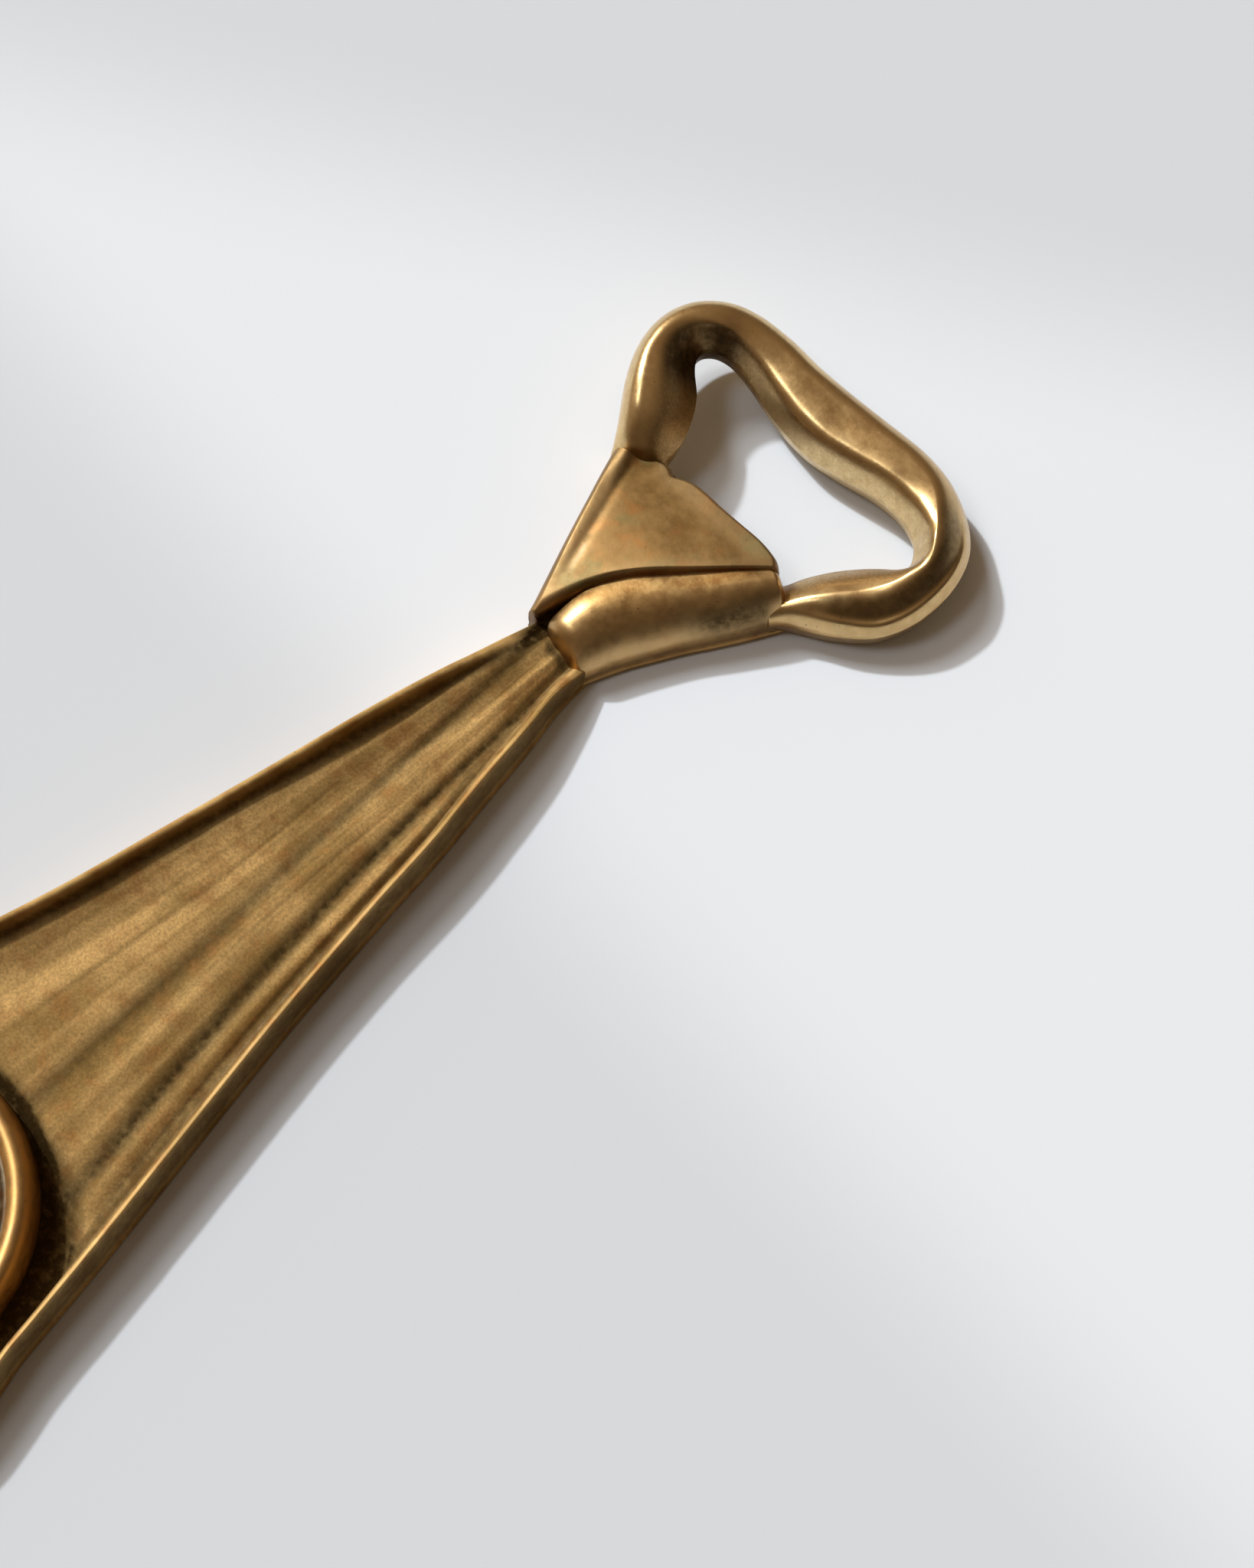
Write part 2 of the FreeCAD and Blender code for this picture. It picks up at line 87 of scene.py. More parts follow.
def follow(y, points):
    """The smooth value at each y through (y, value) points."""
    points = np.array(sorted(points), float)
    slopes = np.gradient(points[:, 1], points[:, 0])
    y = np.asarray(y, float)
    inside = np.clip(y, points[0, 0], points[-1, 0])
    i = np.clip(np.searchsorted(points[:, 0], inside, side="right") - 1, 0, len(points) - 2)
    span = points[i + 1, 0] - points[i, 0]
    u = (inside - points[i, 0]) / span
    value = hermite(u, points[i, 1], points[i + 1, 1], slopes[i], slopes[i + 1], span)
    # Beyond the ends the line runs straight on.
    return value + (y - inside) * np.where(y < points[0, 0], slopes[0], slopes[-1])


def ease(low, high, value):
    """0 at low and beyond it, 1 at high and beyond it, smooth between. It falls where low is
    the greater."""
    u = np.clip((value - low) / (high - low), 0.0, 1.0)
    return u * u * (3 - 2 * u)


def bump_at(value, centre, width):
    """A bell of height 1 about the centre."""
    return np.exp(-(((value - centre) / width) ** 2))


def shoulder(share, power):
    """Rises from 0 at share 0 to 1 at share 1 like a quarter of a superellipse."""
    left = np.clip(1.0 - share, 0.0, 1.0)
    return np.clip(1.0 - left**power, 0.0, 1.0) ** (1.0 / power)


def waves(points, length, seed, count=14):
    """A smooth unevenness about 1 high, from waves of about that length in mm."""
    rng = np.random.default_rng(seed)
    total = np.zeros(points.shape[:-1])
    for _ in range(count):
        direction = rng.normal(size=3)
        direction *= TAU / (length * rng.uniform(0.6, 1.7)) / np.linalg.norm(direction)
        total += np.sin(points @ direction + rng.uniform(0, TAU))
    return total / math.sqrt(count)


# ---------------------------------------------------------------- meshes


# The marks that the brass reads from every skinned piece, with their value where a piece has
# none: how much is as cast, darkened by dirt and painted shade, brightened by a painted
# sheen, and streaked with patina.
MARKS = {"cast": 0.0, "groove": 0.0, "worn": 0.0, "streak": 0.5}


def quads_between(spans, rows, columns):
    """Four-sided faces over that many spans between rings of points that close on
    themselves. The ring after the last is the first."""
    row, column = np.meshgrid(np.arange(spans), np.arange(columns), indexing="ij")
    below, after = (row + 1) % rows, (column + 1) % columns
    corners = [
        row * columns + column,
        row * columns + after,
        below * columns + after,
        below * columns + column,
    ]
    return np.stack(corners, axis=-1).reshape(-1, 4)


def skin(name, rings, material, slot, nodes, **marks):
    """A closed mesh over rings of points, with a fan over each end ring. Rings is an array
    (ring, point, xyz) in mm, and each ring runs round the section. Marks are values at the
    ring points, kept as attributes."""
    rows, columns, _ = rings.shape
    ends = np.stack([rings[0].mean(0), rings[-1].mean(0)])
    points = np.concatenate([rings.reshape(-1, 3), ends]) * MM
    quads = quads_between(rows - 1, rows, columns)
    first, last = rows * columns, rows * columns + 1
    loop = np.arange(columns)
    turned = (loop + 1) % columns
    start_fan = np.stack([turned, loop, np.full(columns, first)], axis=1)
    base = (rows - 1) * columns
    end_fan = np.stack([base + loop, base + turned, np.full(columns, last)], axis=1)
    faces = quads.tolist() + start_fan.tolist() + end_fan.tolist()
    piece = add_piece(name, points, faces, material, nodes)
    for mark, unmarked in MARKS.items():
        values = np.full(len(points), unmarked)
        if mark in marks:
            values[: rows * columns] = marks[mark].ravel()
        write_attribute(piece, mark, values)
    return piece


def add_piece(name, points, faces, material, nodes):
    """A smooth-shaded piece of the opener, facing outwards, riding on the part."""
    mesh = bpy.data.meshes.new(name)
    mesh.from_pydata(points.tolist(), [], faces)
    mesh.validate()
    if signed_volume(mesh) < 0:
        mesh.flip_normals()
    mesh.shade_smooth()
    mesh.materials.append(material)
    piece = bpy.data.objects.new(name, mesh)
    bpy.context.scene.collection.objects.link(piece)
    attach(piece, "root")
    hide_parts(*nodes)
    return piece


def signed_volume(mesh):
    """Positive when the faces look outwards."""
    mesh.calc_loop_triangles()
    corners = np.zeros(len(mesh.loop_triangles) * 3, np.int32)
    mesh.loop_triangles.foreach_get("vertices", corners)
    points = mesh_points(mesh)[corners.reshape(-1, 3)]
    return np.einsum("ij,ij->i", points[:, 0], np.cross(points[:, 1], points[:, 2])).sum()


def mesh_points(mesh):
    """The mesh's points in metres, as an array."""
    points = np.zeros(len(mesh.vertices) * 3, np.float32)
    mesh.vertices.foreach_get("co", points)
    return points.reshape(-1, 3).astype(float)


# ---------------------------------------------------------------- opener loop

PARTING = 2.5
BAR_BEAD_IN = 0.75
BAR_BEAD_WIDTH = 0.45

# Each station is a pair across the bow, from inside the knot on the left round to the right:
# outer x, y; inner x, y; height; how far the flat leans down to the opening; inner slope's
# width and crispness; outer slope's width and fullness; how far the bow is sprung up there;
# and the bead along the outer foot.
LOOP_STATIONS = [
    (-13.4, 59.2, -7.6, 61.6, 5.0, 0.4, 2.0, 4.0, 2.2, 2.0, 1.3, 0.0),
    (-14.6, 61.0, -9.0, 63.7, 6.2, 0.5, 2.2, 4.5, 2.4, 2.0, 2.7, 0.0),
    (-16.0, 62.9, -9.9, 66.7, 7.0, 0.6, 3.0, 5.0, 2.5, 2.1, 3.8, 0.0),
    (-17.6, 64.8, -11.2, 69.3, 7.2, 0.6, 3.8, 5.5, 2.5, 2.1, 4.6, 0.0),
    (-19.2, 66.8, -13.0, 71.6, 7.3, 0.6, 4.1, 6.0, 2.4, 2.1, 5.0, 0.0),
    (-20.9, 69.5, -15.2, 73.3, 7.3, 0.5, 3.6, 6.0, 2.4, 2.1, 5.0, 0.0),
    (-22.0, 72.8, -16.3, 74.5, 7.3, 0.4, 2.7, 5.0, 2.7, 2.1, 5.0, 0.0),
    (-22.0, 76.0, -16.5, 75.6, 7.2, 0.2, 1.7, 4.5, 3.0, 2.1, 4.8, 0.0),
    (-20.8, 78.8, -15.9, 76.5, 7.2, 0.1, 1.1, 4.5, 3.0, 2.1, 4.4, 0.0),
    (-18.5, 81.2, -14.9, 77.0, 7.1, 0.0, 0.8, 4.5, 3.0, 2.1, 3.9, 0.0),
    (-15.3, 82.7, -13.4, 77.2, 7.0, 0.0, 0.8, 4.0, 3.0, 2.1, 3.2, 0.0),
    (-10.6, 83.4, -10.5, 76.9, 7.0, 0.0, 1.0, 3.2, 3.0, 2.1, 2.4, 0.0),
    (-5.1, 83.5, -6.0, 76.0, 7.0, 0.0, 1.1, 2.8, 3.0, 2.1, 1.9, 0.0),
    (0.4, 84.0, -0.5, 75.7, 7.0, 0.0, 1.1, 2.8, 3.0, 2.1, 1.5, 0.0),
    (4.9, 84.6, 4.0, 76.6, 7.0, 0.0, 1.0, 2.8, 3.0, 2.0, 1.4, 0.0),
    (9.3, 85.0, 8.4, 77.8, 7.0, 0.0, 1.0, 2.8, 3.0, 2.0, 1.4, 0.0),
    (13.4, 84.7, 12.3, 78.1, 7.0, 0.1, 1.1, 3.0, 3.2, 1.8, 1.4, 0.0),
    (17.0, 83.4, 15.0, 77.3, 7.1, 0.2, 1.5, 5.0, 4.0, 1.33, 1.8, 0.1),
    (19.0, 81.9, 16.0, 76.4, 7.1, 0.2, 1.7, 5.0, 4.3, 1.23, 2.3, 0.2),
    (20.3, 80.4, 16.6, 75.6, 7.1, 0.2, 1.9, 4.5, 4.3, 1.18, 2.4, 0.3),
    (21.6, 77.6, 16.8, 74.8, 7.1, 0.3, 2.0, 4.0, 4.2, 1.18, 2.3, 0.4),
    (22.2, 74.1, 16.3, 73.9, 7.0, 0.3, 2.3, 3.6, 4.1, 1.18, 2.0, 0.4),
    (22.0, 70.3, 15.2, 72.7, 6.9, 0.3, 3.0, 3.0, 4.2, 1.18, 1.5, 0.4),
    (20.7, 66.7, 13.8, 71.0, 6.8, 0.3, 3.2, 2.6, 4.3, 1.23, 0.8, 0.4),
    (17.5, 63.3, 12.0, 68.3, 6.7, 0.3, 3.0, 2.6, 3.6, 1.5, 0.3, 0.3),
    (14.8, 61.3, 10.7, 65.6, 6.3, 0.2, 2.4, 2.1, 2.5, 1.6, 0.0, 0.1),
    (13.4, 60.3, 9.9, 63.4, 5.6, 0.2, 1.9, 2.0, 1.8, 1.8, 0.0, 0.0),
    (12.3, 59.0, 8.8, 62.0, 5.0, 0.2, 1.7, 2.0, 1.8, 1.8, 0.0, 0.0),
]
# A sprung stretch also leans over by this much in x and y for each mm it rises.
SPRING_LEAN = (0.37, -0.39)


def under_side(width, parting):
    """Across and up for the drafted lower wall and flat back, from the outer edge to the
    inner one. Across is measured from the inner edge."""
    lower = [(0.1, 0.75), (0.22, 0.42), (0.36, 0.16), (0.55, 0.04), (0.9, 0.0)]
    outer = [(width - inset, parting * up) for inset, up in lower]
    flat = [(width * share, 0.0) for share in (0.75, 0.5, 0.25)]
    inner = [(inset, parting * up) for inset, up in reversed(lower)]
    return outer + flat + inner


def bar_profile(across, width, station):
    """Rise above the parting line: a slope up from the opening, a flat that leans towards
    it, a rounded outer shoulder and a bead along its foot."""
    height, lean, inner, crisp, outer, full, bead = station
    rise = height - PARTING
    flat = rise - lean * np.clip(1.3 - across / width, 0.0, 1.0)
    slope = rise * across / inner
    ridged = flat * slope / (flat**crisp + slope**crisp + 1e-9) ** (1 / crisp)
    from_outer = width - across
    foot = bead * bump_at(from_outer, BAR_BEAD_IN, BAR_BEAD_WIDTH)
    return ridged * shoulder(from_outer / outer, full) + foot


def loop_rings():
    """The bow's rings, how rough the mould left each point, and its painted highlights and
    painted shade. The slopes round the opening are as cast; the left arm's is darkened as painted
    shade and the long bar's is brightened as a painted reflection, with half its grain. The left
    side's outer shoulder and the right side's foot are brightened as painted highlights, and a
    band on the right corner's outer slope is darkened as painted shade."""
    stations = even_path(LOOP_STATIONS, 600, 5)
    turn = (1 - np.cos(np.linspace(0, math.pi, 120))) / 2
    rings, casts, painted_sheen, painted_shade = [], [], [], []
    for ox, oy, ix, iy, *section, lift, bead in stations:
        outer_edge, inner_edge = np.array([ox, oy]), np.array([ix, iy])
        width = np.linalg.norm(outer_edge - inner_edge)
        across = turn * width
        top = PARTING + bar_profile(across, width, (*section, bead))
        under = np.array(under_side(width, PARTING))
        share = np.concatenate([across, under[:, 0]]) / width
        place = inner_edge + (outer_edge - inner_edge) * share[:, None]
        place = place + lift * np.array(SPRING_LEAN)
        rings.append(np.column_stack([place, np.concatenate([top, under[:, 1]]) + lift]))
        slope_width = max(section[2], 1.2)
        slope = 1 - ease(0.75, 1.15, share * width / slope_width)
        # On the long bar the slopes are brightened as a painted reflection and keep half their
        # grain.
        on_bar = ease(73.0, 75.0, iy) * ease(-10.0, -6.0, ix)
        on_left = ease(-11.0, -14.5, ix)
        from_outer = (1 - share) * width
        # Painted shade on a band down the right corner's outer slope.
        shaded_band = ease(1.1, 1.7, from_outer) * ease(3.9, 2.8, from_outer) * ease(14.0, 18.0, ox)
        # Painted highlights on the left side's outer shoulder and the right side's foot.
        shoulder_sheen = ease(2.6, 1.4, from_outer) * ease(8.0, -8.0, ox)
        foot_sheen = 0.3 * ease(1.2, 0.8, from_outer) * ease(13.0, 17.0, ox)
        casts.append(slope * (1 - 0.5 * on_bar))
        # The left arm's inner slope and that band take painted shade.
        painted_shade.append(0.75 * slope * on_left + 0.55 * shaded_band)
        # The highlights and the bar's slopes take a painted sheen.
        painted_sheen.append(np.maximum.reduce([shoulder_sheen, foot_sheen, slope * on_bar]))
    return np.array(rings), np.array(casts), np.array(painted_sheen), np.array(painted_shade)


# A casting is uneven above the first height, and fully so above the second.
UNEVEN_FROM = (0.35, 1.85)


def roughen(rings, amount, length, seed):
    """Gives a casting's upper surfaces the slight unevenness of a sand mould."""
    lift = ease(*UNEVEN_FROM, rings[..., 2])
    rings = rings.copy()
    rings[..., 2] += amount * lift * waves(rings, length, seed)
    return rings


# ---------------------------------------------------------------- blade

BLADE_TOP = 41.6
BLADE_TIP = -84.9
LEFT_EDGE = [(41.6, -4.5), (36.7, -4.95), (28.4, -6.4), (19.2, -7.95), (11.9, -9.1), (4.2, -10.4)]
LEFT_EDGE += [(-3.9, -11.7), (-15.3, -13.55), (-21.3, -14.8), (-36.0, -18.2), (-50.0, -21.8)]
RIGHT_EDGE = [(41.6, 3.9), (36.7, 4.45), (31.8, 5.65), (24.0, 7.25), (16.7, 8.8), (8.5, 10.1)]
RIGHT_EDGE += [(1.5, 11.35), (-7.0, 12.95), (-13.7, 14.4), (-20.8, 16.0), (-35.1, 19.2)]
RIGHT_EDGE += [(-49.5, 22.1)]
SHOULDER_Y = -61.5
SHOULDER_HALF = 24.3
MEDAL = (0.0, -49.5)

# Pleats radiating from the waist: (y, x) points, half width, height, and the y range over
# which each one shows.
PLEATS = [
    ([(38, -2.6), (17, -3.9), (-3, -5.4), (-13, -5.4), (-31, -5.0)], 1.8, 0.16, (-40, 60)),
    ([(38, -2.0), (17, -1.0), (-3, 0.4), (-13, 1.1), (-31, 2.2)], 0.85, -0.20, (-34, 60)),
    ([(38, 0.5), (17, 1.1), (-3, 2.6), (-13, 4.6), (-31, 5.9)], 0.9, 0.20, (-34, 60)),
    ([(38, 2.4), (17, 2.2), (-3, 2.75), (-13, 3.45), (-31, 5.2)], 0.18, -0.05, (-26, 16)),
    ([(38, 2.4), (17, 4.0), (-3, 6.5), (-13, 8.2), (-31, 11.8)], 0.9, -0.32, (-33, 60)),
    ([(30, 4.0), (12, 6.6), (-3, 8.3), (-13, 9.9), (-31, 13.2)], 0.75, 0.26, (-31, 34)),
    ([(30, 5.0), (12, 7.7), (-3, 9.6), (-13, 11.4), (-31, 14.9)], 0.5, -0.20, (-33, 30)),
    ([(38, -3.6), (8, -3.7), (-3, -3.6), (-13, -4.3), (-31, -5.6)], 0.2, -0.05, (-30, 14)),
]
# Across the edge, measured in from it: a flash line along the foot, the rim's crest, and the
# width of the slope from the crest down to the floor.
LEDGE_WIDTH = 0.2
LEDGE_HEIGHT = 0.62
CREST = 0.55
FALL_WIDTH = 1.5
# The floor banks up towards the left rim, and steps down to a seat round the medallion.
BANK_HEIGHT = 1.1
BANK_REACH = 6.0
SEAT_DEPTH = 1.2
SEAT_END = (-66.5, -70.0)
# The blade's pit beside the knot: its place, half widths and depth.
PIT_AT = (-3.1, 40.6)
PIT_SIZE = (1.0, 2.2)
PIT_DEPTH = 1.3


def blade_sides(y):
    """The left and right edges' x at each y: the traced flare, which opens out to a pair of
    rounded shoulders and closes to the tip."""
    left, right = follow(y, LEFT_EDGE), follow(y, RIGHT_EDGE)
    open_out = ease(-46.0, -60.0, y)
    spread = (SHOULDER_Y - y) / (SHOULDER_Y - BLADE_TIP)
    half = SHOULDER_HALF * (1 - np.clip(spread, 0.0, 1.0))
    round_off = 0.9 * np.exp(-(((y - SHOULDER_Y) / 2.4) ** 2)) * (half > 1)
    left = left * (1 - open_out) + open_out * (round_off - half)
    right = right * (1 - open_out) + open_out * (half - round_off)
    return left, right


def rim_height(x, y):
    """The right rim stands a little prouder than the left one, and both dip to the knot."""
    height = follow(y, [(42, 2.4), (40, 3.3), (37, 4.4), (33, 5.1), (0, 5.3), (-85, 5.2)])
    return height + 0.4 * ease(0.0, 4.0, x) * ease(25.0, 5.0, y)


def floor_height(y):
    """The floor sinks slowly from the knot to the tip."""
    return follow(y, [(42, 3.0), (32, 3.1), (16, 2.9), (-10, 2.65), (-30, 2.5), (-85, 2.4)])


# A groove this deep is wholly dirty.
FULL_GROOVE = 0.3


def pleats(x, y):
    """Height of the pleats, and how deep in a groove each point lies."""
    relief, groove = np.zeros_like(x), np.zeros_like(x)
    for points, half, rise, (low, high) in PLEATS:
        spread = half * (0.75 + 0.5 * ease(30, -15, y))
        shown = ease(low - 3, low + 4, y) * (1 - ease(high - 6, high + 6, y))
        bell = shown * bump_at(x, follow(y, points), spread)
        relief += rise * bell
        groove += bell * max(-rise, 0.0) / FULL_GROOVE
    return relief, groove


def blade_top(x, y, edge):
    """Height of the blade's face, its dirt and painted shade, and how much each point belongs to
    the floor.
    Edge is the distance in from the nearest edge."""
    rim = rim_height(x, y)
    relief, groove = pleats(x, y)
    left_half = ease(2.0, -1.0, x)
    bank = BANK_HEIGHT * ease(CREST + BANK_REACH, CREST + 0.9, edge)
    bank *= left_half * ease(-34.0, -26.0, y)
    pit = bump_at(x, PIT_AT[0], PIT_SIZE[0]) * bump_at(y, PIT_AT[1], PIT_SIZE[1])
    past_step = recess_line(x) - y
    before_tip = 1 - ease(*SEAT_END, y)
    seat = ease(0.0, 3.6, past_step) * before_tip
    face = floor_height(y) + relief + bank - PIT_DEPTH * pit - SEAT_DEPTH * seat
    ledge = LEDGE_HEIGHT * ease(0.0, 0.05, edge + 0.02)
    up = np.clip((edge - LEDGE_WIDTH) / (CREST - LEDGE_WIDTH), 0.0, 1.0)
    wall = ledge + (rim - LEDGE_HEIGHT) * shoulder(up, 2.1)
    down = np.clip((edge - CREST) / FALL_WIDTH, 0.0, 1.0)
    fall = face + (rim - face) * (0.5 + 0.5 * np.cos(math.pi * down**1.7))
    z = np.where(edge < CREST, wall, fall)
    shown = ease(CREST + 1.0, CREST + 1.9, edge)
    # Dirt lies in the pleats' grooves. The seat round the medallion, the pit by the knot, the
    # floor under the left rim and the right rim's outer wall are darkened as painted shade.
    seat_shade = ease(-0.5, 4.0, past_step) * before_tip
    rim_shadow = ease(CREST + 0.6, CREST + 1.2, edge) * ease(CREST + 2.3, CREST + 1.5, edge)
    rim_shadow *= ease(2.0, 0.0, x) * 0.7
    right_wall_shade = ease(0.5, 0.36, edge) * ease(0.6, 1.4, z) * ease(0.0, 2.0, x) * 0.5
    dirt_and_shade_weight = 0.8 * groove * shown + 0.95 * seat_shade * shown + pit + rim_shadow + right_wall_shade
    return z, np.clip(dirt_and_shade_weight, 0, 1), shown


def recess_line(x):
    """The y at which the floor steps down round the medallion."""
    return -30.2 - 3.2 * (np.abs(x - 0.5) / 15.0) ** 4


def edge_distance(x, y, left, right):
    """Distance in from the long sides, and from the two slanting sides below the shoulder."""
    sides = np.minimum(x - left, right - x)
    slant = SHOULDER_HALF / (SHOULDER_Y - BLADE_TIP)
    square_on = np.where(y < SHOULDER_Y + 6, 1 / math.hypot(1, slant), 1.0)
    soft = ease(SHOULDER_Y + 6, SHOULDER_Y - 2, y)
    return sides * (1 - soft) + sides * square_on * soft


def blade_back(wide):
    """Across and up for the rounded lower edges and the flat back, from right to left."""
    reach = min(0.9, wide * 0.2)
    corner = [(reach * 0.12, 0.3), (reach * 0.45, 0.06), (reach, 0.0)]
    right = [(wide - inset, up) for inset, up in corner]
    flat = [(wide * share, 0.0) for share in (0.75, 0.5, 0.25)]
    return np.array(right + flat + corner[::-1])


def blade_rings():
    """The blade's rings from the knot to the tip, and each point's dirt and painted shade,
    whether it is as cast, and its streak of patina. The streaks fan out with the blade."""
    y = np.concatenate(
        [np.linspace(BLADE_TOP, -62.0, 330), np.linspace(-62.3, BLADE_TIP + 0.05, 90)]
    )
    left, right = blade_sides(y)
    width = right - left
    rim_zone = np.minimum(3.4, width * 0.36)
    near = np.linspace(0, 1, 40) ** 1.35
    middle = np.linspace(0, 1, 84)[1:-1]
    rings, grooves, casts, streaks = [], [], [], []
    for row_y, row_left, row_right, wide, zone in zip(y, left, right, width, rim_zone):
        across = np.concatenate(
            [near * zone, zone + middle * (wide - 2 * zone), wide - (near * zone)[::-1]]
        )
        x = row_left + across
        edge = edge_distance(x, np.full_like(x, row_y), row_left, row_right)
        z, groove, shown = blade_top(x, np.full_like(x, row_y), edge)
        back = blade_back(wide)
        bare = np.zeros(len(back))
        ring_x = np.concatenate([x, row_left + back[:, 0]])
        ring_z = np.concatenate([z, back[:, 1]])
        rings.append(np.column_stack([ring_x, np.full_like(ring_x, row_y), ring_z]))
        grooves.append(np.concatenate([groove, bare]))
        casts.append(np.concatenate([shown, bare]))
        fan = [ring_x / wide * 26.0, np.full_like(ring_x, row_y * 0.05), np.zeros_like(ring_x)]
        streaks.append(np.column_stack(fan))
    streak = 0.5 + 0.25 * waves(np.array(streaks), 1.1, 21)
    streak += 0.2 * waves(np.array(streaks), 2.6, 22)
    return np.array(rings), np.array(grooves), np.array(casts), np.clip(streak, 0, 1)


# ---------------------------------------------------------------- knot

LEAF_LEFT = [(-14.0, 61.6), (-12.8, 58.5), (-10.4, 53.0), (-7.7, 46.8), (-5.6, 41.9), (-5.1, 40.6)]
LEAF_CREASE = [(9.7, 62.8), (6.4, 59.0), (3.6, 55.6), (0.8, 52.1), (-1.0, 49.2), (-2.0, 47.1)]
LEAF_CREASE += [(-2.6, 45.5), (-3.2, 43.6), (-3.9, 41.0)]
LEAF_LIP = [(-14.0, 61.6), (-12.0, 61.8), (-9.1, 62.4), (-7.4, 62.7), (-6.2, 62.3), (-5.4, 62.7)]
LEAF_LIP += [(-4.1, 63.3), (-2.8, 63.5), (0.1, 63.6), (2.9, 63.8), (5.7, 64.0), (7.5, 63.9)]
LEAF_LIP += [(8.8, 63.6), (9.7, 62.8)]
ROLL_LEFT = [(9.0, 62.6), (5.8, 58.7), (2.9, 55.1), (0.1, 51.7), (-1.6, 48.6), (-2.4, 45.6)]
ROLL_LEFT += [(-2.6, 43.0), (-2.5, 41.2), (-1.6, 40.1)]
ROLL_RIGHT = [(13.2, 61.0), (11.7, 57.8), (9.8, 54.1), (8.1, 51.0), (6.8, 48.3), (5.3, 45.1)]
ROLL_RIGHT += [(4.2, 42.1), (3.5, 39.9)]
ROLL_LIP = [(9.0, 62.6), (9.8, 63.0), (11.0, 62.5), (12.1, 61.9), (13.2, 61.0)]


def patch(left, right, start, rows, columns):
    """A grid of places between a left and a right path, whose first row is the start path,
    with each column's share across, each point's share along and each row's width."""
    spacing = 0.5 - 0.5 * np.cos(np.linspace(0, math.pi, columns))
    left, right = even_path(left, rows), even_path(right, rows)
    start = even_path(start, 600, 8)
    along = np.linspace(0, 1, 600)
    first = np.stack([np.interp(spacing, along, column) for column in start.T], axis=1)
    straight = left[:1] + (right[:1] - left[:1]) * spacing[:, None]
    bulge = first - straight
    grid = left[:, None] + (right - left)[:, None] * spacing[None, :, None]
    fade = (1 - ease(0.0, 0.25, np.linspace(0, 1, rows)))[:, None, None]
    grid = grid + bulge[None] * fade
    t = np.linspace(0, 1, rows)[:, None] * np.ones(columns)
    width = np.linalg.norm(grid[:, -1] - grid[:, 0], axis=1)[:, None]
    return grid, spacing, t, width


def pad_mark(mark, rings):
    """The mark of a piece's top, with none on its walls and underside."""
    return np.pad(mark, ((0, 0), (0, rings.shape[1] - mark.shape[1])))


def walled(grid, z, left_wall, right_wall):
    """Closed rings over the rows of a grid: its top, then a wall on each side and a hidden
    underside. Each wall lists (outward, z) points downwards."""
    rings = []
    for place, height in zip(grid, z):
        side = place[-1] - place[0]
        side /= np.linalg.norm(side)
        right = [(*(place[-1] + side * out), up) for out, up in right_wall]
        left = [(*(place[0] - side * out), up) for out, up in reversed(left_wall)]
        rings.append(np.concatenate([np.column_stack([place, height]), right, left]))
    return np.array(rings)


def leaf_rings():
    """The leaf's rings from the lip to its lower end, and the dirt in the valley beside its
    left margin."""
    grid, spacing, t, width = patch(LEAF_LEFT, LEAF_CREASE, LEAF_LIP, 260, 150)
    from_left = spacing * width
    from_crease = (1 - spacing) * width
    from_lip = np.linalg.norm(grid - grid[:1], axis=2)
    crown = follow(t, [(0, 7.2), (0.12, 7.5), (0.4, 7.9), (0.65, 7.7), (0.85, 6.8), (1, 5.9)])
    fall = follow(t, [(0, 1.2), (0.3, 0.9), (0.6, 0.6), (1, 0.4)]) * (1 - spacing) ** 1.7
    valley = follow(t, [(0, 2.9), (0.35, 2.6), (0.7, 2.1), (1, 1.4)])
    margin = 0.06 * bump_at(from_left, 1.05, 0.6) - 0.13 * bump_at(from_left, valley, 0.6)
    shown = ease(0.05, 0.2, t) * (1 - ease(0.6, 0.9, t))
    ridge = 0.7 * bump_at(grid[..., 0], -12.2 + 0.35 * (61.8 - grid[..., 1]), 1.2)
    ridge *= ease(55.0, 60.5, grid[..., 1])
    z = crown - fall + margin * shown + ridge
    base = 3.6
    z = base + (z - base) * shoulder(from_left, 2.0)
    round_off = follow(t, [(0, 0.5), (0.5, 0.6), (0.8, 1.2), (1, 1.5)])
    z = base + (z - base) * (0.42 + 0.58 * shoulder(from_crease / round_off, 2.1))
    z = base + (z - base) * shoulder(from_lip / 0.9 + 0.02, 2.2)
    left_wall = [(0.06, 2.6), (0.03, 1.4), (0.12, 0.7), (0.2, 0.5), (0.0, 0.08), (-0.8, 0.0)]
    left_wall += [(-2.0, 1.0)]
    groove = 0.4 * shown * bump_at(from_left, valley, 0.45)
    rings = walled(grid, z, left_wall, [(-0.05, 3.9), (-0.25, 3.0)])
    return rings, pad_mark(groove, rings)


